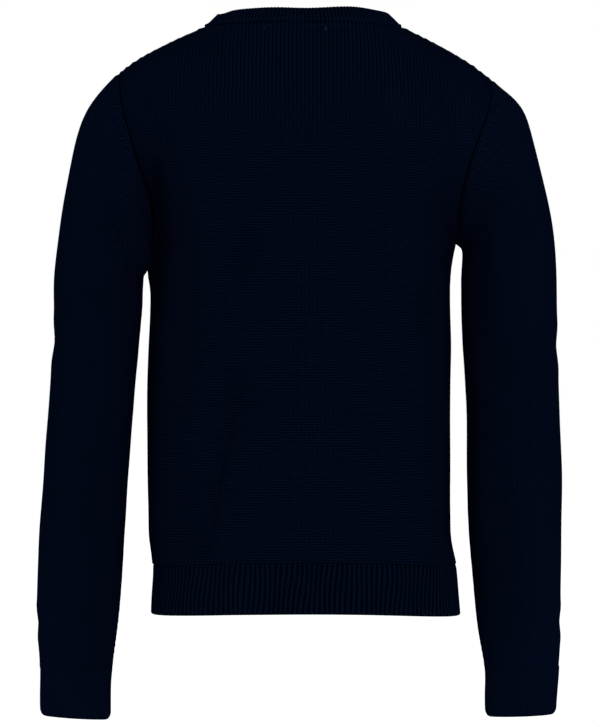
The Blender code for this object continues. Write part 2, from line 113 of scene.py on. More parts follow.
# the sleeves below the armhole: outer line, underarm line, how far the arm has come
# forward, and how far a ring reaches behind and in front of that
sleeveNames = ("xOut", "zOut", "xIn", "zIn", "yMid", "back", "front", "rows")
sleeveTables = {
    "left": [
        (171.0, -53.5, 135.3, -210.8, 0.0, 54.5, 53.0, 1),
        (184.5, -71.0, 136.3, -212.5, 0.0, 52.5, 52.0, 1),
        (194.0, -97.0, 136.8, -215.0, 0.0, 51.5, 51.0, 1),
        (201.0, -131.0, 137.0, -219.0, 0.0, 51.0, 50.5, 1),
        (207.0, -166.0, 137.4, -225.0, -0.5, 50.0, 50.0, 1),
        (212.0, -206.0, 138.0, -236.0, -1.0, 48.5, 49.0, 1),
        (213.6, -262.0, 141.2, -270.0, -2.0, 46.0, 47.0, 2),
        (217.0, -318.0, 145.4, -320.0, -3.5, 43.5, 44.5, 1),
        (223.0, -393.0, 151.0, -393.0, -6.0, 39.5, 41.0, 2),
        (228.2, -470.0, 156.0, -470.0, -11.0, 34.5, 36.0, 2),
        (228.0, -512.0, 159.6, -512.0, -15.0, 28.5, 29.5, 1),
        (226.4, -546.5, 164.2, -547.5, -18.0, 21.5, 21.5, 1),      # top of the cuff
        (226.2, -588.5, 165.6, -592.0, -21.0, 20.0, 20.0, 2),      # cuff edge
    ],
    "right": [
        (169.0, -54.5, 132.4, -188.6, 0.0, 54.5, 53.0, 1),
        (184.5, -71.0, 133.6, -190.6, 0.0, 52.5, 52.0, 1),
        (193.8, -97.0, 134.0, -193.5, 0.0, 51.5, 51.0, 1),
        (203.0, -131.0, 134.0, -198.0, 0.0, 51.0, 50.5, 1),
        (210.0, -166.0, 133.6, -206.0, -0.5, 50.0, 50.0, 1),
        (213.8, -206.0, 133.4, -222.0, -1.0, 48.5, 49.0, 1),
        (215.0, -262.0, 134.6, -266.0, -2.0, 46.0, 47.0, 2),
        (216.8, -318.0, 137.7, -318.0, -3.5, 43.5, 44.5, 1),
        (219.3, -400.0, 138.8, -400.0, -6.0, 39.5, 41.0, 2),
        (218.4, -475.0, 144.2, -475.0, -11.0, 34.5, 36.0, 2),
        (218.4, -515.0, 148.4, -515.0, -15.0, 28.5, 29.5, 1),
        (217.4, -545.5, 153.8, -546.0, -18.0, 21.5, 21.5, 1),
        (215.6, -587.5, 154.6, -589.5, -21.0, 20.0, 20.0, 2),
    ],
}
cuffRows = 2


def slopes(places, values):
    # slopes of a smooth curve that never overshoots its own points
    step = np.diff(places)
    rise = np.diff(values) / step
    tilt = np.zeros(len(places))
    tilt[0] = rise[0]
    tilt[-1] = rise[-1]
    for i in range(1, len(places) - 1):
        if rise[i - 1] * rise[i] > 0:
            first = 2 * step[i] + step[i - 1]
            second = step[i] + 2 * step[i - 1]
            tilt[i] = (first + second) / (first / rise[i - 1] + second / rise[i])
    return tilt


def smoothThrough(places, values, wanted):
    # that curve's values at the wanted places
    places = np.asarray(places, float)
    values = np.asarray(values, float)
    tilt = slopes(places, values)
    at = np.clip(np.searchsorted(places, wanted) - 1, 0, len(places) - 2)
    step = places[at + 1] - places[at]
    t = (wanted - places[at]) / step
    return ((2 * t ** 3 - 3 * t ** 2 + 1) * values[at] + (t ** 3 - 2 * t ** 2 + t) * step * tilt[at]
            + (3 * t ** 2 - 2 * t ** 3) * values[at + 1] + (t ** 3 - t ** 2) * step * tilt[at + 1])


def bodyLevels():
    # every ring of the body, from the hem edge to the neck
    tall = np.cumsum([row[-1] for row in bodyTable])
    wanted = np.arange(0, tall[-1] + 1.0)
    level = {}
    for i, name in enumerate(bodyNames[:-1]):
        level[name] = smoothThrough(tall, [row[i] for row in bodyTable], wanted)
    angle = np.linspace(180, 0, cut["armholeSteps"] + 1)[1:]
    turn = np.radians(angle)
    keys = [180 - row[0] for row in armholeTable]
    armhole = {}
    for i, name in enumerate(armholeNames[1:], start=1):
        armhole[name] = smoothThrough(keys, [row[i] for row in armholeTable], 180 - angle)
    for name in ("zLeft", "zRight"):
        top = shoulderTable[0][shoulderNames.index(name)]
        armhole[name] = top + (level[name][-1] - top) * (1 - np.cos(turn)) / 2
    shoulder = {}
    for i, name in enumerate(shoulderNames):
        shoulder[name] = np.array([row[i] for row in shoulderTable], float)[1:]
    swing = np.clip(np.sin(turn), 0, 1) ** cut["squareness"]
    extra = {"reachBack": cut["reachBack"] * swing, "reachFront": cut["reachFront"] * swing,
             "frontIn": cut["frontIn"] * np.sin(turn) ** 2}
    for name, values in extra.items():
        level[name] = np.zeros(len(wanted))
        armhole[name] = values
        shoulder[name] = np.zeros(len(shoulderTable) - 1)
    whole = {name: np.concatenate([level[name], armhole[name], shoulder[name]]) for name in level}
    body, arm, top = len(wanted), len(angle), len(shoulderTable) - 1
    round0, round1 = cut["bodyRoundness"], cut["shoulderRoundness"]
    whole["roundness"] = np.concatenate([np.full(body, round0), np.linspace(round0, round1, arm),
                                         np.full(top, round1)])
    whole["dip"] = np.concatenate([np.full(body + arm, cut["shoulderDip"]),
                                   np.linspace(cut["shoulderDip"], cut["neckDip"], top + 1)[1:]])
    return whole, body - 1


def halfRow(level, i, side, face, steps, stopAt):
    # half a ring, from its side or armhole edge in to x = stopAt
    power = 2 / level["roundness"][i]
    edgeX = level["x" + side][i] - (level["frontIn"][i] if face == "Front" else 0)
    depth = level["y" + face][i]
    reach = level["reach" + face][i]
    first = math.asin(min((reach / depth) ** (1 / power), 1.0))
    wide = edgeX / math.cos(first) ** power
    last = math.acos((stopAt / wide) ** (1 / power)) if stopAt > 0 else math.pi / 2
    turn = np.linspace(first, last, steps + 1)
    x = wide * np.cos(turn) ** power
    y = depth * np.sin(turn) ** power
    x[0], y[0] = edgeX, reach
    if stopAt == 0:
        x[-1] = 0.0
    drop = np.sin(turn) ** level["dip"][i]
    share = (drop - drop[0]) / (drop[-1] - drop[0])
    edgeZ = level["z" + side][i]
    z = edgeZ + (level["z" + face][i] - edgeZ) * share
    return np.stack([x if side == "Left" else -x, y if face == "Back" else -y, z], axis=1)


def settle(grid, first, edgeColumns):
    # evens out the rows above the underarm, less towards the fixed edges
    columns = grid.shape[1]
    hold = np.ones(columns)
    for column in edgeColumns:
        distance = np.abs(np.arange(columns) - column % columns)
        hold = np.minimum(hold, np.clip(distance / cut["settleColumns"], 0, 1))
    hold = hold[None, :, None] * cut["settleAmount"]
    for _ in range(cut["settleTimes"]):
        middle = (grid[first - 1:-2] + grid[first + 1:]) / 2
        grid[first:-1] += (middle - grid[first:-1]) * hold


def neckRows(seam):
    # the band stands up from the neck seam and leans in towards the neck
    middle = np.array([0.0, (seam[:, 1].max() + seam[:, 1].min()) / 2])
    inward = middle - seam[:, :2]
    inward /= np.linalg.norm(inward, axis=1)[:, None]
    frontness = np.clip(-seam[:, 1] / abs(seam[:, 1]).max(), 0, 1)
    lean = np.radians(cut["neckLeanBack"] + (cut["neckLeanFront"] - cut["neckLeanBack"]) * frontness)
    rise = np.column_stack([inward * np.sin(lean)[:, None], np.cos(lean)])
    heights = np.linspace(0, cut["neckHeight"], cut["neckSteps"] + 1)
    return np.array([seam + rise * height for height in heights])


def sleeveRings(table, signX, armhole):
    # the armhole first, then a ring for each row, down to the cuff edge
    count = len(armhole)
    turn = np.arange(count) * 2 * math.pi / count
    top, low = armhole[0], armhole[count // 2]
    keys = [(top[0] * signX, top[2], low[0] * signX, low[2], 0.0, cut["reachBack"], cut["reachFront"], 0)]
    keys += table
    along = np.cumsum([row[-1] for row in keys])
    wanted = np.arange(0, along[-1] + 1.0)
    column = {}
    for i, name in enumerate(sleeveNames[:-1]):
        column[name] = smoothThrough(along, [row[i] for row in keys], wanted)
    rings = []
    for i in range(len(wanted)):
        out = np.array([signX * column["xOut"][i], column["yMid"][i], column["zOut"][i]])
        under = np.array([signX * column["xIn"][i], column["yMid"][i], column["zIn"][i]])
        reach = np.where(np.sin(turn) > 0, column["back"][i], column["front"][i])
        ring = (out + under) / 2 + np.outer(np.cos(turn), (out - under) / 2)
        ring[:, 1] += reach * np.sin(turn)
        rings.append(ring)
    rings = np.array(rings)
    bend = armhole - rings[0]
    for i, kept in enumerate(cut["capBends"]):
        rings[i] += bend * kept
    return rings


def cutPieces():
    # coarse grids of all the pieces, their rows running up from the hem or down the arm
    level, underarm = bodyLevels()
    half = cut["backColumns"] // 2
    rows = range(len(level["zLeft"]))
    grids = {}
    grids["back"] = np.array([np.concatenate([
        halfRow(level, i, "Left", "Back", half, 0),
        halfRow(level, i, "Right", "Back", half, 0)[::-1][1:]]) for i in rows])
    settle(grids["back"], underarm, (0, -1))
    for side in ("Left", "Right"):
        front = np.array([halfRow(level, i, side, "Front", cut["frontColumns"], cut["bandWidth"] / 2)
                          for i in rows])
        if side == "Left":
            near = np.clip(1 - (front[:, :, 0] - cut["bandWidth"] / 2) / cut["bandEase"], 0, 1)
            front[:, :, 1] += cut["bandDrop"] * near * near * (3 - 2 * near)
        settle(front, underarm, (0,))
        grids["front" + side] = front
    left, right = grids["frontLeft"], grids["frontRight"]
    seam = np.concatenate([left[-1][::-1], grids["back"][-1][1:], right[-1][1:]])
    grids["neck"] = neckRows(seam)
    for side, front, end, sign in (("Left", left, 0, -1), ("Right", right, -1, 1)):
        line = np.concatenate([front[:, -1], grids["neck"][1:, end]])
        strip = [line + np.array([sign * cut["bandWidth"] * part, 0.0, 0.0]) for part in (0, 0.5, 1)]
        grids["band" + side] = np.stack(strip, axis=1)
        armRows = slice(underarm, underarm + cut["armholeSteps"] + 1)
        backEdge = grids["back"][armRows, 0 if side == "Left" else -1][::-1]
        loop = np.concatenate([backEdge, front[armRows, 0][1:-1]])
        grids["sleeve" + side] = sleeveRings(sleeveTables[side.lower()], -sign, loop)
    return grids, underarm


# reading the form finely

finer = 10             # fine columns to one column of the cut
lineSteps = 600        # points that a line is measured with
tiny = 1e-9


def splineWeights(count, places, closed=False):
    # rows of weights that read a smooth curve through count points at these places
    bend = np.zeros((count, count))
    turn = np.zeros((count, count))
    for i in range(count):
        if closed or 0 < i < count - 1:
            near = [(i - 1) % count, i, (i + 1) % count]
            bend[i, near] = (1, 4, 1)
            turn[i, near] = (6, -12, 6)
        else:
            bend[i, [i, 1 if i == 0 else i - 1]] = (1, -1)
    curve = np.linalg.solve(bend, turn)
    whole = np.floor(places).astype(int)
    if not closed:
        whole = np.clip(whole, 0, count - 2)
    t = (places - whole)[:, None]
    here, after = whole % count, (whole + 1) % count
    eye = np.eye(count)
    s = 1 - t
    return s * eye[here] + t * eye[after] + (s ** 3 - s) / 6 * curve[here] + (t ** 3 - t) / 6 * curve[after]


def lengthAlong(line):
    # how far along a line of points each of them lies
    return np.concatenate([[0], np.cumsum(np.linalg.norm(np.diff(line, axis=0), axis=1))])


def evenPlaces(line, start, stop, look):
    # places along a line of points about one row step apart, closer at both ends
    fine = np.linspace(start, stop, lineSteps)
    length = lengthAlong(splineWeights(len(line), fine) @ line)
    edges = look["edges"]
    low, high = edges[-1], length[-1] - edges[-1]
    inner = np.linspace(low, high, max(2, round((high - low) / look["rowStep"])) + 1)
    wanted = np.concatenate([[0], edges[:-1], inner, length[-1] - np.array(edges[:-1])[::-1], length[-1:]])
    return np.interp(wanted, length, fine)


def unitLong(ways):
    # the same directions, each one unit long
    return ways / np.maximum(np.linalg.norm(ways, axis=-1, keepdims=True), tiny)


def layOut(points, origin, heart, closed=False):
    # a fine grid of points with its normals, its length across from the origin column
    # and its height up the courses
    along = np.gradient(points, axis=0)
    over = np.gradient(points, axis=1)
    if closed:
        over[:, 0] = over[:, -1] = points[:, 1] - points[:, -2]
    normals = unitLong(np.cross(over, along))
    flip = np.sum(normals * (points - heart)) < 0
    if flip:
        normals = -normals
    steps = np.linalg.norm(np.diff(points, axis=1), axis=2)
    across = np.concatenate([np.zeros((len(points), 1)), np.cumsum(steps, axis=1)], axis=1)
    across -= across[:, origin][:, None]
    rise = np.diff(points, axis=0)
    over = unitLong(over)
    over = (over[1:] + over[:-1]) / 2
    rise -= over * np.sum(rise * over, axis=2)[:, :, None]
    up = np.concatenate([np.zeros((1, points.shape[1])), np.cumsum(np.linalg.norm(rise, axis=2), axis=0)])
    return {"points": points, "normals": normals, "across": across, "up": up, "flip": flip}


def readAt(base, wanted):
    # points, normals and heights of each row at the wanted lengths across
    values = np.concatenate([base["points"], base["normals"], base["up"][:, :, None]], axis=2)
    out = np.empty(wanted.shape + values.shape[2:])
    for i in range(len(wanted)):
        for k in range(values.shape[2]):
            out[i, :, k] = np.interp(wanted[i], base["across"][i], values[i, :, k])
    return out[:, :, :3], unitLong(out[:, :, 3:6]), out[:, :, 6]


def waleGrid(base, step):
    # columns that follow the wales: they keep their distance from the origin column,
    # and end where the edge of the piece cuts them off
    low, high = base["across"][:, 0], base["across"][:, -1]
    wanted = (np.arange(math.floor(low.min() / step) - 1, math.ceil(high.max() / step) + 1) + 0.5) * step
    first = np.searchsorted(wanted, low, side="right") - 1
    last = np.searchsorted(wanted, high, side="left")
    column = np.clip(np.arange(len(wanted)), first[:, None], last[:, None])
    rows = len(base["across"])
    number = np.arange(rows)[:, None] * len(wanted) + column
    a, b, c, d = number[:-1, :-1], number[:-1, 1:], number[1:, 1:], number[1:, :-1]
    full = (a != b) & (c != d)
    upward = (a != b) & (c == d)
    downward = (a == b) & (c != d)
    quads = np.stack([a[full], b[full], c[full], d[full]], axis=1)
    threes = np.concatenate([np.stack([a[upward], b[upward], c[upward]], axis=1),
                             np.stack([a[downward], c[downward], d[downward]], axis=1)])
    used = np.unique(number)
    quads = np.searchsorted(used, quads)
    threes = np.searchsorted(used, threes)
    across = np.clip(wanted[None, :], low[:, None], high[:, None])
    points, normals, up = readAt(base, across)
    side = np.minimum(across - low[:, None], high[:, None] - across)
    top = base["up"].max(axis=1)
    # each point's length across, and how far it is from the low end, the nearer side and the high end
    spots = {"u": across.ravel()[used], "low": up.ravel()[used], "side": side.ravel()[used],
             "high": top[-1] - top[used // len(wanted)],
             "points": points.reshape(-1, 3)[used], "normals": normals.reshape(-1, 3)[used]}
    return spots, [quads, threes]


def gridFaces(rows, columns, closed):
    # the quads of a plain grid, round to its first column again if it is closed
    number = np.arange(rows * columns).reshape(rows, columns)
    if closed:
        number = np.concatenate([number, number[:, :1]], axis=1)
    corners = (number[:-1, :-1], number[:-1, 1:], number[1:, 1:], number[1:, :-1])
    return np.stack(corners, axis=-1).reshape(-1, 4)


# meshes

def putMesh(name, points, faces, materials, uv=None, faceLook=None):
    # a smooth mesh that belongs to the cardigan, from points in millimetres
    mesh = bpy.data.meshes.new(name)
    mesh.from_pydata((points * mm).tolist(), [], [row for part in faces for row in part.tolist()])
    for material in materials:
        mesh.materials.append(material)
    if faceLook is not None:
        mesh.polygons.foreach_set("material_index", faceLook.astype(np.int32))
    if uv is not None:
        corner = np.empty(len(mesh.loops), np.int32)
        mesh.loops.foreach_get("vertex_index", corner)
        layer = mesh.uv_layers.new(name="knit")
        layer.data.foreach_set("uv", (uv[corner] * mm).ravel().astype(np.float32))
    mesh.shade_smooth()
    item = bpy.data.objects.new(name, mesh)
    bpy.context.scene.collection.objects.link(item)
    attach(item, "root")
    return item


def borderEdges(faces):
    # edges that only one face has, in that face's own direction
    pairs = []
    for part in faces:
        for k in range(part.shape[1]):
            pairs.append(np.stack([part[:, k], part[:, (k + 1) % part.shape[1]]], axis=1))
    pairs = np.concatenate(pairs)
    size = pairs.max() + 1
    return pairs[~np.isin(pairs[:, 0] * size + pairs[:, 1], pairs[:, 1] * size + pairs[:, 0])]


def putShell(name, outer, inner, faces, flip, uv, materials):
    # an outer and an inner layer of the same faces, closed round every edge
    faces = [part for part in faces if len(part)]
    if flip:
        faces = [part[:, ::-1] for part in faces]
    count = len(outer)
    edge = borderEdges(faces)
    rim = np.stack([edge[:, 1], edge[:, 0], edge[:, 0] + count, edge[:, 1] + count], axis=1)
    inside = [part[:, ::-1] + count for part in faces]
    sides = sum(len(part) for part in faces)
    look = np.concatenate([np.zeros(sides), np.ones(sides), np.zeros(len(rim))])
    return putMesh(name, np.concatenate([outer, inner]), faces + inside + [rim], materials,
                   np.concatenate([uv, uv]), look)


def softStep(value):
    # a soft rise from 0 to 1
    value = np.clip(value, 0, 1)
    return value * value * (3 - 2 * value)


# where a fold is drawn: the axis across that view, the axis it looks along, and the side it sees
foldViews = {"back": (0, 1, 1), "front": (0, 1, -1), "left": (1, 0, 1), "right": (1, 0, -1)}
# across a fold the unit is its width, and along it its whole length
foldForm = {
    "steps": 48, "reach": 3.2,
    "trough": 1.4,                # more is narrower
    "swell": 0.32,                # the cloth stands up a little beside a trough
    "swellAt": 1.75, "swellWide": 0.65,
    "endFade": 0.4,
    "sideFade": 0.4,              # how far round the side it dies out
}
waveForm = {"count": 9, "lengths": (0.7, 1.8), "starts": (0, 6.28)}


def foldHeight(points, normals, folds):
    # soft troughs (depth > 0) and ridges (depth < 0) along drawn paths
    total = np.zeros(len(points))
    for view, path, width, depth, ends in folds:
        flat, axis, sign = foldViews[view]
        path = np.array(path, float)
        line = splineWeights(len(path), np.linspace(0, len(path) - 1, foldForm["steps"])) @ path
        spot = points[:, [flat, 2]]
        reach = foldForm["reach"] * width
        near = np.all((spot > line.min(axis=0) - reach) & (spot < line.max(axis=0) + reach), axis=1)
        near &= normals[:, axis] * sign > 0
        chosen = np.nonzero(near)[0]
        if not len(chosen):
            continue
        spot = spot[chosen]
        away = np.sum((spot[:, None] - line[None]) ** 2, axis=2)
        at = np.argmin(away, axis=1)
        way = np.gradient(line, axis=0)
        step = np.linalg.norm(way, axis=1)
        way /= step[:, None]
        delta = spot - line[at]
        cross = delta[:, 0] * way[at, 1] - delta[:, 1] * way[at, 0]
        along = np.sum(delta * way[at], axis=1)
        share = np.clip((at + along / step[at]) / (len(line) - 1), 0, 1)
        beyond = np.where((at == 0) | (at == len(line) - 1), np.maximum(np.abs(along) - step[at], 0), 0)
        t = np.hypot(cross, beyond) / width
        swell = foldForm["swell"] * np.exp(-((t - foldForm["swellAt"]) / foldForm["swellWide"]) ** 2)
        shape = -np.exp(-foldForm["trough"] * t * t) + swell
        fade = ends[0] + (1 - ends[0]) * softStep(share / foldForm["endFade"])
        fade = fade * (ends[1] + (1 - ends[1]) * softStep((1 - share) / foldForm["endFade"]))
        facing = softStep(normals[chosen, axis] * sign / foldForm["sideFade"])
        total[chosen] += depth * shape * fade * facing
    return total


def unevenness(points, seed, size, amount):
    # gentle waves, about one size long, in directions drawn at random
    chance = np.random.default_rng(seed)
    total = np.zeros(len(points))
    for _ in range(waveForm["count"]):
        way = chance.normal(size=3)
        way /= np.linalg.norm(way)
        long = size * chance.uniform(*waveForm["lengths"])
        total += np.sin(points @ way * 2 * math.pi / long + chance.uniform(*waveForm["starts"]))
    return total * amount / math.sqrt(waveForm["count"])


def clothLift(points, normals, look, edge):
    # how far folds and waves move the cloth, nothing at its edges
    lift = foldHeight(points, normals, look["folds"])
    lift += unevenness(points, look["seed"], look["waveSize"], look["waves"])
    return lift * softStep(edge / look["foldFree"])


def putPlain(name, base, look, materials):
    # a plain knit piece: wales as fine ridges, its folds, and edges that turn in at the seams
    spots, faces = waleGrid(base, look["wale"] / look["perWale"])
    flat, out = spots["points"], spots["normals"]
    wave = (1 - np.cos(2 * math.pi * (spots["u"] / look["wale"] - 0.5))) / 2
    # the edge towards the rib is knitted on, so that one has no seam
    sewn = np.minimum(spots["side"], spots["high"] if look["ribAt"] == "low" else spots["low"])
    edge = np.minimum(sewn, spots[look["ribAt"]])
    # right under the arm the seams lie flat, so that sleeve and body part there cleanly
    away = np.min([np.linalg.norm(flat - point, axis=1) for point in underarmPoints], axis=0)
    flatter = softStep((away - look["flatTo"]) / look["flatFade"])
    turnIn = np.exp(-(sewn / look["seamWide"]) ** 2) * flatter
    yoke = softStep((flat[:, 2] - look["yokeFrom"]) / look["yokeFade"])
    ridge = look["ridge"] * (1 + look["yokeRidge"] * yoke)
    base["look"] = look
    lift = clothLift(flat, out, look, edge)
    lift += look["welt"] * flatter * np.exp(-((sewn - look["weltIn"]) / look["weltWide"]) ** 2)
    outer = flat + out * (lift - wave * ridge * (1 - turnIn) - turnIn * look["seamDip"])[:, None]
    inner = flat + out * (lift - look["wall"] + turnIn * look["seamDip"] * look["dipInside"])[:, None]
    uv = np.stack([spots["u"], spots["low"]], axis=1)
    return putShell(name, outer, inner, faces, base["flip"], uv, materials)


ribForm = {
    "calm": 8.0,                         # a rib runs straight this close to an edge
    "shortWave": (6.3, 9.0, 0.6),        # how ribs wander: length across, length up, share
    "longWave": (15.7, 12.0, 0.7),
    "linkFade": 1.4,                     # how soon the ribs rise above a linked edge
    "thinnest": 0.3,                     # share of the wall left at a free edge
}


def putRib(name, base, look, materials, closed=False, shift=None):
    # 1x1 rib: rounded ribs outside, and the same ribs half a pitch on inside
    columns = look["ribs"] * look["perRib"]
    share = np.arange(columns if closed else columns + 1) / columns
    low, high = base["across"][:, :1], base["across"][:, -1:]
    across = low + (high - low) * share
    if not closed:
        # the ribs wander a little from side to side
        firm = softStep(np.minimum(across - low, high - across) / ribForm["calm"])
        tall = base["up"][:, :1]
        shortAcross, shortUp, shortShare = ribForm["shortWave"]
        longAcross, longUp, longShare = ribForm["longWave"]
        across = across + look["sway"] * firm * (
            np.sin(across / shortAcross + tall / shortUp + look["seed"]) * shortShare
            + np.sin(across / longAcross - tall / longUp) * longShare)
        across = across + look.get("lean", 0.0) * firm * (tall / tall[-1] - 0.5)
    points, normals, up = readAt(base, across)
    turn = math.pi * (share * look["ribs"] - 0.5)
    hump = np.abs(np.cos(turn)) ** look["pinch"]
    counter = np.abs(np.sin(turn)) ** look["pinch"]
    depth = look["depth"]
    if "linkHigh" in look:
        depth = depth * softStep((up - look["linkHigh"]) / ribForm["linkFade"] + 0.5)
    outer = -(1 - hump) * depth + 0 * up
    for place, deep, wide in look.get("grooves", ()):
        height = up if place > 0 else up - up[-1]
        outer -= deep * np.exp(-((height - place) / wide) ** 2)
    inner = -look["wall"] + (1 - counter) * look["depth"] + 0 * up
    middle = -look["wall"] / 2
    distance = {"bottom": up, "top": up[-1] - up, "first": across - low, "last": high - across}
    for side in look["freeEdges"]:
        close = 1 - np.clip(distance[side] / (look["wall"] / 2), 0, 1)
        firm = np.maximum(np.sqrt(1 - close * close), ribForm["thinnest"])
        outer = middle + (outer - middle) * firm
        inner = middle + (inner - middle) * firm
    for side in look["sewnEdges"]:
        outer = outer - look["seamDip"] * np.exp(-(distance[side] / look["seamWide"]) ** 2)
    lift = unevenness(points.reshape(-1, 3), look["seed"], look["waveSize"], look["waves"]).reshape(up.shape)
    if "tuck" in look:
        # the edge rolls in, so its corners look rounded
        lift -= look["tuck"] * (1 - np.sqrt(1 - (1 - np.clip(up / look["tuckHigh"], 0, 1)) ** 2))
    outer = points + normals * (outer + lift)[:, :, None]
    inner = points + normals * (inner + lift)[:, :, None]
    if shift is not None:
        outer += shift(points, up)
        inner += shift(points, up)
    uv = np.stack([np.broadcast_to(share * look["ribs"] * look["pitch"], up.shape), up], axis=2)
    faces = [gridFaces(len(up), len(share), closed)]
    return putShell(name, outer.reshape(-1, 3), inner.reshape(-1, 3), faces, base["flip"],
                    uv.reshape(-1, 2), materials)


def tube(path, width, height, closed=False, sides=8):
    # points and faces of a round or oval tube along a path
    way = np.roll(path, -1, axis=0) - np.roll(path, 1, axis=0) if closed else np.gradient(path, axis=0)
    way = unitLong(way)
    slanted = np.array([0.31, 0.52, 0.79])      # no tube here runs this way
    over = unitLong(np.cross(way, slanted))
    rise = np.cross(way, over)
    turn = np.arange(sides) * 2 * math.pi / sides
    ring = (over[:, None] * np.cos(turn)[None, :, None] * width
            + rise[:, None] * np.sin(turn)[None, :, None] * height)
    points = (path[:, None] + ring).reshape(-1, 3)
    rows = np.arange(len(path) * sides).reshape(len(path), sides)
    rows = np.concatenate([rows, rows[:, :1]], axis=1)
    if closed:
        rows = np.concatenate([rows, rows[:1]])
    faces = [np.stack([rows[:-1, 1:], rows[:-1, :-1], rows[1:, :-1], rows[1:, 1:]], axis=-1).reshape(-1, 4)]
    if not closed:
        faces += [rows[:1, :-1], rows[-1:, :-1][:, ::-1]]
    return points, faces


def bead(sides=8, rings=5):
    # a unit ball, to be stretched into stitches
    points = [(0.0, 0.0, -1.0)]
    for r in range(1, rings):
        lean = math.pi * r / rings - math.pi / 2
        for k in range(sides):
            turn = 2 * math.pi * k / sides
            points.append((math.cos(lean) * math.cos(turn), math.cos(lean) * math.sin(turn), math.sin(lean)))
    points.append((0.0, 0.0, 1.0))
    last = len(points) - 1
    quads, threes = [], []
    for k in range(sides):
        n = (k + 1) % sides
        threes.append((0, 1 + n, 1 + k))
        threes.append((last, last - sides + k, last - sides + n))
        for r in range(rings - 2):
            a = 1 + r * sides
            quads.append((a + k, a + n, a + sides + n, a + sides + k))
    return np.array(points), [np.array(quads), np.array(threes)]


def manyBeads(places, ways, outs, size):
    # one stitch at each place: the size is half its length, half its width and half its height
    unit, faces = bead()
    points, quads, threes = [], [], []
    for i in range(len(places)):
        over = np.cross(outs[i], ways[i])
        turned = (unit[:, :1] * size[0] * ways[i] + unit[:, 1:2] * size[1] * over
                  + unit[:, 2:] * size[2] * outs[i])
        start = len(unit) * i
        points.append(places[i] + turned)
        quads.append(faces[0] + start)
        threes.append(faces[1] + start)
    return np.concatenate(points), [np.concatenate(quads), np.concatenate(threes)]


def joined(parts):
    # several (points, faces) as one
    points, faces, start = [], [], 0
    for spots, lists in parts:
        points.append(spots)
        faces += [part + start for part in lists]
        start += len(spots)
    return np.concatenate(points), faces


# finishes

class Tree:
    # a short way to write the nodes of one material
    def __init__(self, name):
        self.material = bpy.data.materials.new(name)
        self.material.use_nodes = True
        self.nodes = self.material.node_tree.nodes
        self.links = self.material.node_tree.links
        self.shader = self.nodes["Principled BSDF"]

    def plug(self, value, socket):
        if isinstance(value, bpy.types.NodeSocket):
            self.links.new(value, socket)
        else:
            socket.default_value = value

    def math(self, operation, first, second=0.0, third=0.0):
        made = self.nodes.new("ShaderNodeMath")
        made.operation = operation
        for socket, value in zip(made.inputs, (first, second, third)):
            self.plug(value, socket)
        return made.outputs[0]

    def clamped(self, value):
        return self.math("MINIMUM", self.math("MAXIMUM", value, 0.0), 1.0)

    def between(self, value, first, last):
        # 0 up to the first length, 1 from the last one on
        beyond = self.math("SUBTRACT", value, first * mm)
        return self.clamped(self.math("DIVIDE", beyond, (last - first) * mm))

    def noise(self, vector, scale, detail, rough=0.5):
        made = self.nodes.new("ShaderNodeTexNoise")
        self.plug(vector, made.inputs["Vector"])
        made.inputs["Scale"].default_value = scale
        made.inputs["Detail"].default_value = detail
        made.inputs["Roughness"].default_value = rough
        return made.outputs[0]

    def blend(self, factor, first, second):
        made = self.nodes.new("ShaderNodeMix")
        made.data_type = "RGBA"
        self.plug(factor, made.inputs["Factor"])
        self.plug(first, made.inputs["A"])
        self.plug(second, made.inputs["B"])
        return made.outputs["Result"]

    def bump(self, height, distance, strength):
        made = self.nodes.new("ShaderNodeBump")
        made.inputs["Distance"].default_value = distance
        made.inputs["Strength"].default_value = strength
        self.plug(height, made.inputs["Height"])
        self.plug(made.outputs[0], self.shader.inputs["Normal"])


yarn = {
    "high": (0.0042, 0.0132, 0.0445, 1.0),       # top of a stitch, painted lighter than its dips
    "low": (0.0002, 0.0009, 0.0030, 1.0),        # between the stitches, painted shade
    "fleck": (0.0100, 0.0180, 0.0480, 1.0),      # a paler fibre here and there
    "roughness": 0.82,
    "shine": 0.0,
    "sheen": 0.008,
    "sheenRoughness": 0.42,
    "sheenTint": (0.16, 0.26, 0.85, 1.0),
    # each noise by its scale, detail and, for the fuzz, roughness
    "looseness": (95.0, 2.0), "strayAcross": 0.9, "strayUp": -1.1,
    "fuzz": (1500.0, 3.0, 0.65), "fuzzTone": 0.24, "toneFrom": -0.11, "fuzzRough": 0.2, "fuzzRelief": 0.35,
    "patches": (16.0, 2.0), "patchTone": 0.2,
    "flecks": (2600.0, 1.0), "fleckFrom": 0.70, "fleckShare": 0.35,
    # how strongly the stitch's height paints its colour: lighter tops, painted shade between the stitches
    "paintedStitchShade": 1.02,
    "drawnLegs": 0.06, "drawnRows": -0.6, "drawnWales": 0.36,      # what drawing it across changes
    "purlSway": 0.2,
    "reliefStrength": 0.9,
}
resin = {
    "dark": (0.0016, 0.0036, 0.0125, 1.0), "pale": (0.0055, 0.0100, 0.0320, 1.0), "clouds": (260.0, 3.0),
    "rubs": (2200.0, 2.0, 0.7), "rubbed": 0.2, "roughness": 0.17, "shine": 0.1,
    "relief": 0.03, "reliefStrength": 0.5,
}
# how dark the painted shade between a thread's turns is, with its noise and relief
threadTwist = {"noise": (1900.0, 2.0), "dark": 0.45, "reliefStrength": 0.8}


def toned(colour, gain):
    # a colour made darker or lighter
    return tuple(part * gain for part in colour[:3]) + (1.0,)


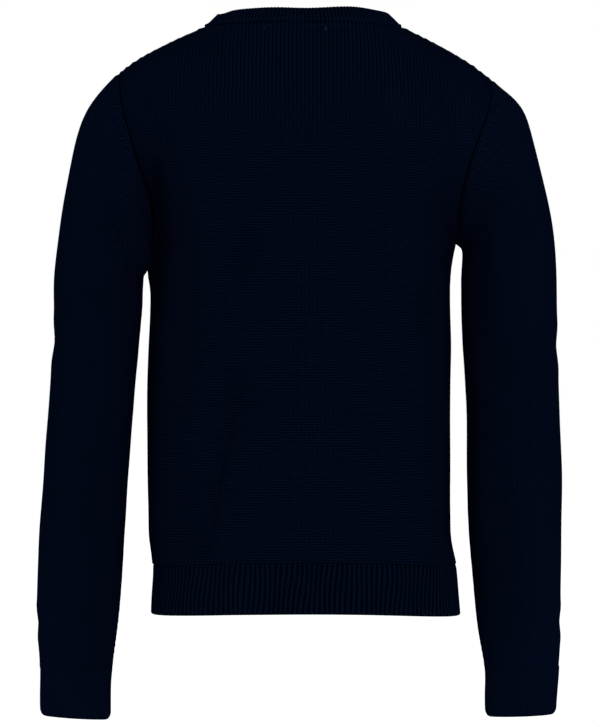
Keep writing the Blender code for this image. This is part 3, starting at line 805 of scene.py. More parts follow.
def knitFinish(name, stitch, side="face"):
    # stitches are drawn from the u and v that run across and up the knit
    tree = Tree(name)
    where = tree.nodes.new("ShaderNodeTexCoord")
    solid = where.outputs["Object"]
    parts = tree.nodes.new("ShaderNodeSeparateXYZ")
    tree.plug(where.outputs["UV"], parts.inputs[0])
    loose = tree.math("SUBTRACT", tree.noise(solid, *yarn["looseness"]), 0.5)
    across = tree.math("MULTIPLY_ADD", loose, yarn["strayAcross"] * mm, parts.outputs[0])
    across = tree.math("DIVIDE", across, stitch["wale"] * mm)
    up = tree.math("MULTIPLY_ADD", loose, yarn["strayUp"] * mm, parts.outputs[1])
    up = tree.math("DIVIDE", up, stitch["course"] * mm)
    middle = tree.math("ABSOLUTE", tree.math("SUBTRACT", tree.math("FRACT", across), 0.5))
    rowDepth, waleDepth = stitch["rowDepth"], stitch["waleDepth"]
    if "yoke" in stitch:
        # towards the neck the cloth is drawn across, so its wales show more than its rows
        drawn = tree.between(parts.outputs[1], *stitch["yoke"])
        middle = tree.math("MULTIPLY", middle, tree.math("MULTIPLY_ADD", drawn, yarn["drawnLegs"], 1.0))
        rowDepth = tree.math("MULTIPLY_ADD", drawn, yarn["drawnRows"], rowDepth)
        waleDepth = tree.math("MULTIPLY_ADD", drawn, yarn["drawnWales"], waleDepth)
    if side == "face":
        leg = tree.math("DIVIDE", tree.math("SUBTRACT", middle, stitch["legAt"]), stitch["legWide"])
        leg = tree.math("SUBTRACT", 1.0, tree.math("MULTIPLY", leg, leg))
        leg = tree.math("MAXIMUM", leg, 0.0)
        row = tree.math("FRACT", tree.math("SUBTRACT", up, tree.math("MULTIPLY", middle, stitch["slant"])))
        strand = tree.math("SUBTRACT", 1.0, tree.math("SINE", tree.math("MULTIPLY", row, math.pi)))
        strand = tree.math("SUBTRACT", 1.0, tree.math("MULTIPLY", strand, rowDepth))
        leg = tree.math("MULTIPLY", tree.math("SUBTRACT", 1.0, leg), waleDepth)
        leg = tree.math("SUBTRACT", 1.0, leg)
        height = tree.math("MULTIPLY", leg, strand)
    else:
        sway = tree.math("COSINE", tree.math("MULTIPLY", across, 2 * math.pi))
        row = tree.math("FRACT", tree.math("ADD", up, tree.math("MULTIPLY", sway, yarn["purlSway"])))
        height = tree.math("SINE", tree.math("MULTIPLY", row, math.pi))
    fuzz = tree.noise(solid, *yarn["fuzz"])
    patch = tree.noise(solid, *yarn["patches"])
    fleck = tree.math("GREATER_THAN", tree.noise(solid, *yarn["flecks"]), yarn["fleckFrom"])
    tone = tree.math("MULTIPLY_ADD", fuzz, yarn["fuzzTone"], yarn["toneFrom"])
    # the stitch's height paints its colour too: lighter tops and painted shade in the dips between stitches
    tone = tree.math("MULTIPLY_ADD", height, yarn["paintedStitchShade"], tone)
    patch = tree.math("MULTIPLY", tree.math("SUBTRACT", patch, 0.5), yarn["patchTone"])
    tone = tree.math("ADD", tone, patch)
    low, high = [toned(yarn[end], stitch["tone"]) for end in ("low", "high")]
    # painted light: between two lengths up the knit its stitch tops turn paler
    if "paler" in stitch:
        first, last, gain = stitch["paler"]
        high = tree.blend(tree.between(parts.outputs[1], first, last), high, toned(high, gain))
    colour = tree.blend(tree.clamped(tone), low, high)
    colour = tree.blend(tree.math("MULTIPLY", fleck, yarn["fleckShare"]), colour, yarn["fleck"])
    shader = tree.shader
    tree.plug(colour, shader.inputs["Base Color"])
    smoothest = yarn["roughness"] - yarn["fuzzRough"] / 2
    tree.plug(tree.math("MULTIPLY_ADD", fuzz, yarn["fuzzRough"], smoothest), shader.inputs["Roughness"])
    shader.inputs["Specular IOR Level"].default_value = yarn["shine"]
    shader.inputs["Sheen Weight"].default_value = yarn["sheen"]
    shader.inputs["Sheen Roughness"].default_value = yarn["sheenRoughness"]
    shader.inputs["Sheen Tint"].default_value = yarn["sheenTint"]
    relief = tree.math("MULTIPLY_ADD", fuzz, yarn["fuzzRelief"], height)
    tree.bump(relief, stitch["relief"] * mm, yarn["reliefStrength"])
    return tree.material


def resinFinish(name):
    # dark resin with a faint cloud in its colour and fine rubbed marks on its gloss
    tree = Tree(name)
    solid = tree.nodes.new("ShaderNodeTexCoord").outputs["Object"]
    cloud = tree.noise(solid, *resin["clouds"])
    rubbed = tree.noise(solid, *resin["rubs"])
    tree.plug(tree.blend(cloud, resin["dark"], resin["pale"]), tree.shader.inputs["Base Color"])
    roughness = tree.math("MULTIPLY_ADD", rubbed, resin["rubbed"], resin["roughness"])
    tree.plug(roughness, tree.shader.inputs["Roughness"])
    tree.shader.inputs["Specular IOR Level"].default_value = resin["shine"]
    tree.bump(rubbed, resin["relief"] * mm, resin["reliefStrength"])
    return tree.material


def threadFinish(name, colour, roughness, relief, shine=0.0):
    # twisted yarn or thread, with painted shade between its turns
    tree = Tree(name)
    solid = tree.nodes.new("ShaderNodeTexCoord").outputs["Object"]
    twist = tree.noise(solid, *threadTwist["noise"])
    # painted shade: the thread is darker where its twist dips
    dark = toned(colour, threadTwist["dark"])
    tree.plug(tree.blend(twist, dark, colour), tree.shader.inputs["Base Color"])
    tree.shader.inputs["Roughness"].default_value = roughness
    tree.shader.inputs["Specular IOR Level"].default_value = shine
    tree.bump(twist, relief * mm, threadTwist["reliefStrength"])
    return tree.material


# sizes of one stitch, where its two legs lie in it, how deep it is and how light
plainStitch = {
    "wale": 3.36, "course": 2.15, "legAt": 0.21, "legWide": 0.27, "slant": 0.5,
    "rowDepth": 0.9, "waleDepth": 0.55, "relief": 0.8, "tone": 0.92,
}
bodyStitch = dict(plainStitch, yoke=(350.0, 425.0))      # between these lengths up from the hem rib
# painted light: the sleeves' knit is a lighter copy of the body's, and its stitch tops turn paler still from
# 330 to 455 mm down from the armhole
sleeveStitch = dict(plainStitch, tone=1.05, paler=(330.0, 455.0, 1.2))
ribStitch = {
    "wale": 4.25, "course": 2.3, "legAt": 0.15, "legWide": 0.17, "slant": 1.6,
    "rowDepth": 0.7, "waleDepth": 0.85, "relief": 0.6, "tone": 1.1,
}
cuffStitch = dict(ribStitch, wale=2.6, course=2.2, waleDepth=0.42, tone=1.06)
neckStitch = dict(ribStitch, wale=3.4, course=2.1, tone=1.3)

finishes = {
    "plain": [knitFinish("plainKnit", bodyStitch), knitFinish("purlInside", plainStitch, "purl")],
    "sleeve": [knitFinish("sleeveKnit", sleeveStitch), knitFinish("sleevePurlInside", sleeveStitch, "purl")],
    "rib": [knitFinish("ribKnit", ribStitch)] * 2,
    "cuff": [knitFinish("cuffKnit", cuffStitch)] * 2,
    "neck": [knitFinish("neckKnit", neckStitch)] * 2,
    "yarn": [threadFinish("seamYarn", (0.0066, 0.0165, 0.0560, 1.0), 0.8, 0.25)],
    "button": [resinFinish("buttonResin")],
    "thread": [threadFinish("sewingThread", (0.0045, 0.0110, 0.0330, 1.0), 0.5, 0.12, 0.04)],
    # the fashion marks' yarn is painted paler than the knit: a painted highlight on the raised stitches
    "markHighlightYarn": [threadFinish("markHighlightYarn", (0.0080, 0.0190, 0.0660, 1.0), 0.8, 0.25)],
    # near-black yarn that paints shade: along the armhole seams, in the gaps of the neckband and beside the
    # fashion marks
    "paintedShadeYarn": [threadFinish("paintedShadeYarn", (0.0008, 0.0021, 0.0072, 1.0), 0.9, 0.2)],
    "labelThread": [threadFinish("labelStitchThread", (0.042, 0.044, 0.140, 1.0), 0.6, 0.12)],
}
print("finishes made:", len(bpy.data.materials))

grids, underarm = cutPieces()
topRow = len(grids["back"]) - 1
shoulderRow = underarm + cut["armholeSteps"]
underarmPoints = [grids["back"][underarm, column] for column in (0, -1)]
print("cut laid out:", topRow + 1, "rows from hem to neck")


# where the arms press the cloth in beside the armpits, and where the back stands out a little:
# x, z, spread across, spread up, how deep, +1 behind or -1 in front
dents = [
    (127.0, -174.0, 16.0, 44.0, 15.5, 1),
    (131.0, -142.0, 9.0, 34.0, 13.0, 1),
    (125.0, -184.0, 8.0, 46.0, 9.0, 1),
    (-125.0, -178.0, 7.0, 34.0, 5.0, 1),
    (-126.0, -172.0, 13.0, 38.0, 13.0, 1),
    (126.0, -188.0, 14.0, 42.0, 12.0, -1),
    (-125.0, -182.0, 13.0, 40.0, 12.5, -1),
    (42.0, -310.0, 30.0, 190.0, -4.5, 1),
    (84.0, -310.0, 18.0, 190.0, -3.5, 1),
    (-66.0, -330.0, 34.0, 170.0, -3.0, -1),
]
dentFade = 26.0        # a dent is whole this far behind or in front of the side line


def dented(points):
    # the same for every piece, so that the seams stay together
    points = points.copy()
    for x, z, across, up, deep, side in dents:
        away = ((points[..., 0] - x) / across) ** 2 + ((points[..., 2] - z) / up) ** 2
        points[..., 1] -= side * deep * np.exp(-away) * softStep(points[..., 1] * side / dentFade)
    return points


def widthPlaces(count):
    return np.linspace(0, count - 1, (count - 1) * finer + 1)


def heartOf(points, isTube=False):
    # what the cloth faces away from: the middle of its own ring, or the body's middle line
    return points.mean(axis=1)[:, None] if isTube else points * np.array([0.0, 0.0, 1.0])


def pressedIn(points, origin, heart, closed=False):
    # the form with its dents, while the stitches keep the lengths they had before
    plain = layOut(points, origin, heart, closed)
    pressed = layOut(dented(points), origin, heart, closed)
    return dict(pressed, across=plain["across"], up=plain["up"])


def fineSheet(grid, rows, origin):
    points = np.einsum("ri,ijk,cj->rck", splineWeights(len(grid), rows), grid,
                       splineWeights(grid.shape[1], widthPlaces(grid.shape[1])), optimize=True)
    return pressedIn(points, origin, heartOf(points))


def flatSize(base):
    # the piece laid flat: width, length and area in metres
    wide = base["across"][:, -1] - base["across"][:, 0]
    step = np.diff(base["up"].mean(axis=1))
    area = np.sum((wide[1:] + wide[:-1]) / 2 * step)
    return (wide.max() * mm, base["up"].max() * mm), area * mm * mm


def declare(node):
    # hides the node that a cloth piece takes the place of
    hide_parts(node)


# body

plainKnit = {
    "wale": 3.36, "perWale": 3, "wall": 2.2, "ridge": 0.13,
    "rowStep": 5.0, "edges": (0.9, 2.0, 3.6), "footRows": 3, "rowGap": 0.06,
    "yokeRidge": 2.6, "yokeFrom": -120.0, "yokeFade": 90.0,      # the ridges deepen above this height
    # an edge thins by this from outside and by a share of it from inside, with a welt beside that
    "seamDip": 1.9, "seamWide": 1.3, "dipInside": 0.3, "welt": 0.45, "weltIn": 3.8, "weltWide": 1.8,
    "flatTo": 14.0, "flatFade": 20.0,
    "foldFree": 9.0, "waves": 0.35, "waveSize": 70.0, "ribAt": "low",
}

backPanel = dict(plainKnit, seed=11, folds=[
    # view, path, width, depth, how much is left at its two ends
    ("back", [(55, -140), (52, -200), (57, -260), (63, -317), (73, -400), (86, -449)], 17, 2.4, (0, 0.3)),
    ("back", [(120, -126), (107, -165), (101, -215), (105, -275), (111, -340)], 10, 2.6, (0.7, 0)),
    ("back", [(-62, -150), (-71, -240), (-79, -342), (-94, -410)], 20, -1.9, (0, 0)),
    ("back", [(-120, -118), (-111, -160), (-105, -215), (-110, -300), (-112, -385)], 11, 2.3, (0.6, 0)),
    ("back", [(53, -270), (59, -317), (68, -358), (75, -400), (81, -430), (85, -452)], 6, 3.4, (0, 1)),
    ("back", [(99, -402), (101, -428), (104, -452)], 6, 1.3, (0, 1)),
    ("back", [(116, -380), (117, -415), (120, -450)], 8, 1.2, (0, 1)),
    ("back", [(30, -415), (33, -435), (35, -452)], 7, 0.8, (0, 1)),
    ("back", [(-58, -420), (-60, -440), (-62, -453)], 7, 0.9, (0, 1)),
    ("back", [(-92, -415), (-96, -435), (-98, -453)], 6, 1.0, (0, 1)),
    ("back", [(52, -40), (10, -44), (-36, -38)], 13, -1.2, (0, 0)),
    ("back", [(88, -22), (102, -58), (112, -98)], 12, 1.1, (0, 0)),
    ("back", [(-86, -22), (-99, -56), (-108, -92)], 11, 1.0, (0, 0)),
    ("back", [(-14, -240), (-10, -320), (-16, -400)], 22, 1.0, (0, 0)),
    ("back", [(18, -110), (6, -180), (12, -250)], 24, -0.9, (0, 0)),
])

frontPanels = dict(plainKnit, folds={
    "Left": [
        ("front", [(112, -150), (96, -190), (84, -250), (80, -320)], 12, 2.4, (0.7, 0)),
        ("front", [(52, -250), (56, -330), (62, -400), (66, -452)], 17, 2.1, (0, 0.4)),
        ("front", [(92, -90), (84, -130), (70, -170)], 11, 1.2, (0, 0)),
        ("front", [(100, -400), (103, -428), (106, -454)], 7, 1.2, (0, 1)),
        ("front", [(34, -120), (30, -180), (34, -240)], 14, -1.2, (0, 0)),
        ("front", [(24, -228), (40, -236), (60, -250)], 6, 0.9, (0.8, 0)),
        ("front", [(24, -396), (38, -402), (54, -414)], 6, 0.8, (0.8, 0)),
    ],
    "Right": [
        ("front", [(-110, -146), (-98, -185), (-92, -240), (-96, -300)], 11, 2.3, (0.7, 0)),
        ("front", [(-46, -230), (-52, -320), (-50, -395), (-56, -452)], 18, 1.9, (0, 0.4)),
        ("front", [(-92, -92), (-80, -134), (-66, -168)], 10, 1.1, (0, 0)),
        ("front", [(-84, -405), (-88, -430), (-90, -454)], 6, 1.1, (0, 1)),
        ("front", [(-108, -370), (-110, -410), (-113, -450)], 8, 1.2, (0, 1)),
        ("front", [(-24, -312), (-40, -318), (-58, -330)], 6, 0.9, (0.8, 0)),
        ("front", [(-24, -144), (-38, -150), (-54, -160)], 6, 0.8, (0.8, 0)),
    ],
})


def panelRows(middle, look):
    # even rows up the middle, and closer ones up the foot of the armhole, just where the
    # sleeve has its points, so that no gap is left between the two
    rows = evenPlaces(middle, hemRows, topRow, look)
    steps = [np.arange(0, finer), np.arange(finer, look["footRows"] * finer + 1, 2)]
    foot = underarm + np.concatenate(steps) / finer
    clear = np.abs(rows[:, None] - foot).min(axis=1) > look["rowGap"]
    return np.sort(np.concatenate([rows[clear], foot]))


bases = {}
middle = cut["backColumns"] // 2
rows = panelRows(grids["back"][:, middle], backPanel)
bases["back"] = fineSheet(grids["back"], rows, middle * finer)
item = putPlain("backPanel", bases["back"], backPanel, finishes["plain"])
declare("back")
for side, seed in (("Left", 12), ("Right", 13)):
    base = fineSheet(grids["front" + side], rows, cut["frontColumns"] * finer)
    bases["front" + side] = base
    look = dict(frontPanels, seed=seed, folds=frontPanels["folds"][side])
    item = putPlain("frontPanel" + side, base, look, finishes["plain"])
    declare("front_" + side.lower())
print("body panels made")

# ribs at the hem, the neck and down the fronts

hemRib = {
    "pitch": 4.25, "perRib": 8, "rowStep": 2.8, "wall": 2.8, "depth": 0.95, "pinch": 0.75, "sway": 0.85,
    "grooves": ((-0.9, 0.6, 0.9),),      # height, or down from the top where it is negative, depth, width
    "freeEdges": ("bottom",), "sewnEdges": ("first", "last"), "seamDip": 0.6, "seamWide": 1.5,
    "waves": 0.25, "waveSize": 60.0, "edges": (0.4, 1.0, 2.2),
}
# what it hangs from, its name and node, the seed, and how far its ribs lean
hemPieces = (("back", "hemRibBack", "hem_rib_back", 21, 3.6),
             ("frontLeft", "hemRibLeft", "hem_rib_front_left", 22, 1.6),
             ("frontRight", "hemRibRight", "hem_rib_front_right", 23, -2.0))
for source, name, nodeName, seed, lean in hemPieces:
    grid = grids[source]
    rows = evenPlaces(grid[:, grid.shape[1] // 2], 0, hemRows, hemRib)
    base = fineSheet(grid, rows, 0)
    ribs = round(flatSize(base)[0][0] / mm / hemRib["pitch"])
    item = putRib(name, base, dict(hemRib, ribs=ribs, seed=seed, lean=lean), finishes["rib"])
    declare(nodeName)

neckBand = {
    "pitch": 3.4, "perRib": 8, "rowStep": 0.7, "wall": 2.8, "depth": 0.75, "pinch": 0.8, "sway": 0.3,
    "linkHigh": 5.6, "grooves": ((0.9, 0.7, 0.8), (4.5, 0.9, 0.8)),
    "freeEdges": ("top",), "sewnEdges": ("bottom",), "seamDip": 1.0, "seamWide": 1.3,
    "waves": 0.3, "waveSize": 45.0, "edges": (0.4, 1.0, 2.0), "seed": 31,
    # x, spread, how much higher the edge stands there
    "edgeLifts": ((-41.0, 24.0, 1.3), (-4.0, 16.0, -0.9), (46.0, 18.0, 0.5), (76.0, 11.0, -3.2)),
    "liftFade": 30.0,
}


def unevenTop(points, up):
    # the back of the band stands a little higher or lower here and there
    lift = np.zeros(up.shape)
    for x, spread, height in neckBand["edgeLifts"]:
        lift += height * np.exp(-((points[:, :, 0] - x) / spread) ** 2)
    lift *= softStep(points[:, :, 1] / neckBand["liftFade"]) * softStep(up / cut["neckHeight"])
    return lift[:, :, None] * np.array([0.0, 0.0, 1.0])


grid = grids["neck"]
rows = evenPlaces(grid[:, grid.shape[1] // 2], 0, cut["neckSteps"], neckBand)
base = fineSheet(grid, rows, 0)
bases["neck"] = base
ribs = round(base["across"][0, -1] / neckBand["pitch"])
item = putRib("neckRib", base, dict(neckBand, ribs=ribs), finishes["neck"], shift=unevenTop)
declare("neckband")

frontBands = {
    "pitch": 4.0, "ribs": 7, "perRib": 8, "rowStep": 5.0, "wall": 2.8, "depth": 1.0, "pinch": 0.75,
    "sway": 0.1, "seamDip": 0.8, "seamWide": 1.4, "waves": 0.25, "waveSize": 80.0, "edges": (0.4, 1.0, 2.2),
    "freeEdges": ("bottom", "top", "last"), "sewnEdges": ("first",),
}
for side, name, nodeName, seed in (("Left", "buttonBandRib", "button_band", 41),
                                   ("Right", "buttonholeBandRib", "buttonhole_band", 42)):
    grid = grids["band" + side]
    rows = evenPlaces(grid[:, 1], 0, len(grid) - 1, frontBands)
    base = fineSheet(grid, rows, 0)
    bases["band" + side] = base
    item = putRib(name, base, dict(frontBands, seed=seed), finishes["rib"])
    declare(nodeName)
print("ribs made")

# sleeves and cuffs

sleeves = dict(plainKnit, ribAt="high", yokeRidge=0.0, folds={
    "Left": [
        ("back", [(170, -100), (176, -150), (178, -200), (175, -255)], 11, 1.9, (0, 0)),
        ("back", [(150, -150), (152, -190), (150, -240), (154, -290)], 9, 1.6, (0.5, 0)),
        ("back", [(160, -285), (178, -300), (196, -310)], 12, 1.2, (0.3, 0)),
        ("back", [(205, -330), (196, -390), (199, -450)], 13, -1.3, (0, 0)),
        ("back", [(168, -360), (172, -420), (178, -480)], 11, 1.3, (0, 0)),
        ("back", [(175, -515), (190, -520), (207, -518)], 7, 1.0, (0, 0)),
        ("front", [(172, -110), (178, -160), (176, -215)], 11, 1.8, (0, 0)),
        ("front", [(152, -230), (170, -262), (192, -280)], 10, 2.2, (0.5, 0)),
        ("front", [(154, -275), (172, -296), (196, -306)], 9, 1.9, (0.5, 0)),
        ("front", [(166, -370), (174, -430), (180, -490)], 12, 1.4, (0, 0)),
        ("front", [(172, -520), (188, -526), (206, -522)], 7, 1.1, (0, 0)),
        ("left", [(-20, -250), (2, -268), (24, -262)], 11, 1.2, (0, 0)),
        ("left", [(-30, -500), (-12, -508), (6, -504)], 8, 1.0, (0, 0)),
    ],
    "Right": [
        ("back", [(-168, -96), (-174, -140), (-176, -190), (-172, -235)], 12, 1.5, (0, 0)),
        ("back", [(-148, -146), (-148, -185), (-146, -235), (-148, -300)], 9, 1.9, (0.5, 0)),
        ("back", [(-156, -290), (-176, -306), (-192, -312)], 12, 1.2, (0.3, 0)),
        ("back", [(-196, -340), (-190, -400), (-194, -460)], 13, -1.3, (0, 0)),
        ("back", [(-160, -380), (-166, -440), (-170, -500)], 11, 1.4, (0, 0)),
        ("back", [(-165, -520), (-180, -524), (-196, -520)], 7, 0.9, (0, 0)),
        ("front", [(-170, -104), (-176, -152), (-172, -205)], 12, 1.7, (0, 0)),
        ("front", [(-148, -222), (-166, -252), (-188, -268)], 10, 2.1, (0.5, 0)),
        ("front", [(-150, -268), (-170, -290), (-192, -300)], 9, 1.8, (0.5, 0)),
        ("front", [(-158, -365), (-166, -425), (-170, -485)], 12, 1.4, (0, 0)),
        ("front", [(-162, -518), (-178, -524), (-196, -521)], 7, 1.1, (0, 0)),
        ("right", [(-18, -256), (4, -272), (26, -266)], 11, 1.2, (0, 0)),
        ("right", [(-32, -498), (-12, -507), (4, -503)], 8, 1.0, (0, 0)),
    ],
})
cuffs = {
    "pitch": 2.6, "perRib": 6, "rowStep": 4.5, "wall": 2.8, "depth": 0.24, "pinch": 0.8,
    "tuck": 5.0, "tuckHigh": 7.5,
    "freeEdges": ("bottom",), "sewnEdges": (),
    "waves": 0.3, "waveSize": 40.0, "edges": (0.25, 0.6, 1.1, 1.8, 2.6, 3.6, 4.8, 6.2),
}


def fineSleeve(side, rows):
    # round the arm from the underarm line, over the front, the top and the back, to it again
    grid = grids["sleeve" + side]
    half = grid.shape[1] // 2
    places = np.linspace(-half, half, 2 * half * finer + 1)
    points = np.einsum("ri,ijk,cj->rck", splineWeights(len(grid), rows), grid,
                       splineWeights(grid.shape[1], places, True), optimize=True)
    start = splineWeights(len(grid), np.zeros(1)) @ grid.reshape(len(grid), -1)
    start = splineWeights(grid.shape[1], places, True) @ start.reshape(-1, 3)
    column = 0 if side == "Left" else -1
    read = splineWeights(topRow + 1, shoulderRow - np.abs(places))
    behind, before = read @ grids["back"][:, column], read @ grids["front" + side][:, 0]
    armhole = np.where(places[:, None] > 0, behind, before)
    points += (armhole - start) * (np.clip(1 - rows, 0, 1) ** 2)[:, None, None]
    return pressedIn(points, half * finer, heartOf(points, True), True)


for side, seed in (("Left", 51), ("Right", 52)):
    grid = grids["sleeve" + side]
    last = len(grid) - 1
    rows = evenPlaces(grid[:, 0], 0, last - cuffRows, sleeves)
    base = fineSleeve(side, rows)
    bases["sleeve" + side] = base
    look = dict(sleeves, seed=seed, folds=sleeves["folds"][side])
    item = putPlain("sleeve" + side, base, look, finishes["sleeve"])
    declare("sleeve_" + side.lower())
    # the cuff's rows run up from its edge
    rows = evenPlaces(grid[:, 0], last - cuffRows, last, cuffs)[::-1]
    base = fineSleeve(side, rows)
    ribs = round((base["across"][0, -1] - base["across"][0, 0]) / cuffs["pitch"])
    item = putRib("cuff" + side, base, dict(cuffs, ribs=ribs, seed=seed + 5), finishes["cuff"], closed=True)
    declare("cuff_" + side.lower())
print("sleeves and cuffs made")

# seams and stitches, each one a small bead of yarn or a soft cord of it

def spotOn(base, across, up):
    # point and normal of a fine grid at one length across and one height up
    count = len(base["up"])
    column = np.argmin(np.abs(base["across"][count // 2] - across))
    first = int(np.clip(np.searchsorted(base["up"][:, column], up) - 2, 0, count - 4))
    line = np.empty((4, 7))
    for i in range(4):
        row = first + i
        values = np.column_stack([base["points"][row], base["normals"][row], base["up"][row]])
        for k in range(7):
            line[i, k] = np.interp(across, base["across"][row], values[:, k])
    return np.array([np.interp(up, line[:, 6], line[:, k]) for k in range(6)])


def stitchesOn(base, spots, size, lift, turn=0.0):
    # beads lying on a piece at these places across and up, turned by some degrees
    places, ways, outs = [], [], []
    reach = 0.5        # how far to each side the direction is measured
    lean = math.radians(turn)
    for across, up in spots:
        here = spotOn(base, across, up)
        way = spotOn(base, across + reach, up)[:3] - spotOn(base, across - reach, up)[:3]
        way /= np.linalg.norm(way)
        out = here[3:] / np.linalg.norm(here[3:])
        rise = np.cross(out, way)
        height = lift
        if "look" in base:
            last = np.interp(across, base["across"][-1], base["up"][-1])
            height += clothLift(here[None, :3], out[None], base["look"], min(up, last - up))[0]
        places.append(here[:3] + out * height)
        ways.append(way * math.cos(lean) + rise * math.sin(lean))
        outs.append(out)
    return manyBeads(places, ways, outs, size)


def stitchesAlong(line, normals, start, pitch, down, size, lift, turn=0.0):
    # beads at even steps along an edge, some way down from it
    way = unitLong(np.gradient(line, axis=0))
    drop = np.cross(way, normals)
    drop *= -np.sign(drop[:, 2:].mean()) / np.linalg.norm(drop, axis=1)[:, None]
    rise = np.cross(normals, way)
    length = lengthAlong(line)
    at = np.arange(start, length[-1] - start / 2, pitch)
    lean = math.radians(turn)
    read = [line + drop * down + normals * lift, way * math.cos(lean) + rise * math.sin(lean), normals]
    places, ways, outs = [np.column_stack([np.interp(at, length, part[:, k]) for k in range(3)])
                          for part in read]
    return manyBeads(places, ways, outs, size)


def putStitches(name, parts, materials):
    points, faces = joined(parts)
    item = putMesh(name, points, faces, materials)


seams = {
    "neckPitch": 3.4, "linkUp": 2.7, "linkSize": (1.6, 0.85, 0.7), "linkLift": 0.05, "linkLean": 12.0,
    # rows of near-black beads that paint the shade in the neckband's gaps: height, where the first one lies,
    # lift
    "gapRows": ((0.9, 0.25, -1.15), (4.5, 0.75, -0.7)), "gapSize": (0.8, 0.62, 0.5),
    "loopFrom": 2.5, "loopDown": 4.4, "loopSize": (1.15, 0.8, 0.6), "loopLift": 0.1,
    "markFrom": 42.0, "markTo": 138.0, "markStep": 12.6, "markDown": 6.2, "markLean": 28.0,
    "markSize": (1.9, 0.85, 0.9), "markLift": 0.2,
    "pitSize": (1.3, 0.55, 0.45), "pitAside": 1.7, "pitDown": 0.3,
    "markUneven": ((1.1, 2.4), (2.3, 4.1)),      # how far and how often a mark strays down and along
    "labelMarks": ((-17.5, (2.6, 0.7, 0.5)), (33.3, (1.5, 0.4, 0.3))),
    "labelDown": 7.8, "labelLift": 0.2, "labelLean": 84.0,
    # how deep inside a seam it lies, half its width and height, and its yarn
    "ridge": (2.6, 1.7, 1.1, "yarn"),
    # the linking yarn is near-black, so it paints the seam's shade
    "link": (1.05, 0.6, 0.55, "paintedShadeYarn"),
}

base = bases["neck"]
linkRow = np.argmax(base["up"][:, 0] > seams["linkUp"])
chain = [stitchesAlong(base["points"][linkRow], base["normals"][linkRow], seams["neckPitch"] / 2,
                       seams["neckPitch"], 0.0, seams["linkSize"], seams["linkLift"], seams["linkLean"])]
for name in ("frontLeft", "back", "frontRight"):
    base = bases[name]
    chain.append(stitchesAlong(base["points"][-1], base["normals"][-1], seams["loopFrom"],
                               plainKnit["wale"], seams["loopDown"], seams["loopSize"], seams["loopLift"]))
putStitches("neckLinking", chain, finishes["yarn"])
base = bases["neck"]
gaps = []
for height, start, lift in seams["gapRows"]:
    row = np.argmax(base["up"][:, 0] > height)
    gaps.append(stitchesAlong(base["points"][row], base["normals"][row], seams["neckPitch"] * start,
                              seams["neckPitch"], 0.0, seams["gapSize"], lift))
putStitches("neckGapShade", gaps, finishes["paintedShadeYarn"])

for side in ("Left", "Right"):
    # where the sleeve was narrowed a stitch lies across its neighbours, painted paler as a highlight, with a
    # small gap on each side whose shade a near-black bead paints
    base = bases["sleeve" + side]
    marks, pits = [], []
    (strayDown, downTurn), (strayAlong, alongTurn) = seams["markUneven"]
    for half in (1, -1):
        for number, even in enumerate(np.arange(seams["markFrom"], seams["markTo"], seams["markStep"])):
            away = half * (even + strayAlong * math.sin(alongTurn * number + half))
            down = seams["markDown"] + strayDown * math.sin(downTurn * number + half)
            lean = 90 - seams["markLean"] * half
            marks.append(stitchesOn(base, [(away, down)], seams["markSize"], seams["markLift"], lean))
            beside = [(away + end * seams["pitAside"], down + seams["pitDown"] * end) for end in (-1, 1)]
            pits.append(stitchesOn(base, beside, seams["pitSize"], 0.0, lean))
    putStitches("fashionMarks" + side, marks, finishes["markHighlightYarn"])
    putStitches("fashionGapShade" + side, pits, finishes["paintedShadeYarn"])

base = bases["back"]
parts = []
for x, size in seams["labelMarks"]:
    across = np.interp(-x, -base["points"][-1, :, 0], base["across"][-1])
    top = np.interp(across, base["across"][-1], base["up"][-1])
    spot = (across, top - seams["labelDown"])
    parts.append(stitchesOn(base, [spot], size, seams["labelLift"], seams["labelLean"]))
putStitches("labelStitches", parts, finishes["labelThread"])


def putSeam(name, form, base, part, closed=False):
    # a soft overlocked ridge along the inside of a seam, or the near-black yarn that links its two edges and
    # so paints the seam's shaded line
    deep, wide, high, look = seams[form]
    path = base["points"][part] - base["normals"][part] * deep
    putStitches(name, [tube(path, wide, high, closed)], finishes[look])


putSeam("neckSeam", "ridge", bases["neck"], np.s_[0, ::2])
for side, column in (("Left", 0), ("Right", -1)):
    base = bases["back"]
    split = np.argmax(base["points"][:, column, 2] > grids["back"][underarm, column, 2])
    shoulder = np.argmax(base["points"][:, column, 2] > grids["back"][shoulderRow, column, 2])
    putSeam("sideSeam" + side, "ridge", base, np.s_[:split, column])
    putSeam("shoulderSeam" + side, "ridge", base, np.s_[shoulder:, column])
    base = bases["sleeve" + side]
    putSeam("armholeSeam" + side, "ridge", base, np.s_[0, :-1:4], True)
    # painted shade: a near-black cord just under the armhole seam draws its dark line
    putSeam("armholeSeamShade" + side, "link", base, np.s_[0, :-1:2], True)
    putSeam("sleeveSeam" + side, "ridge", base, np.s_[1:, 0])
print("seams stitched")

# buttons down the front, each sewn through its four holes, and a stitched hole behind it

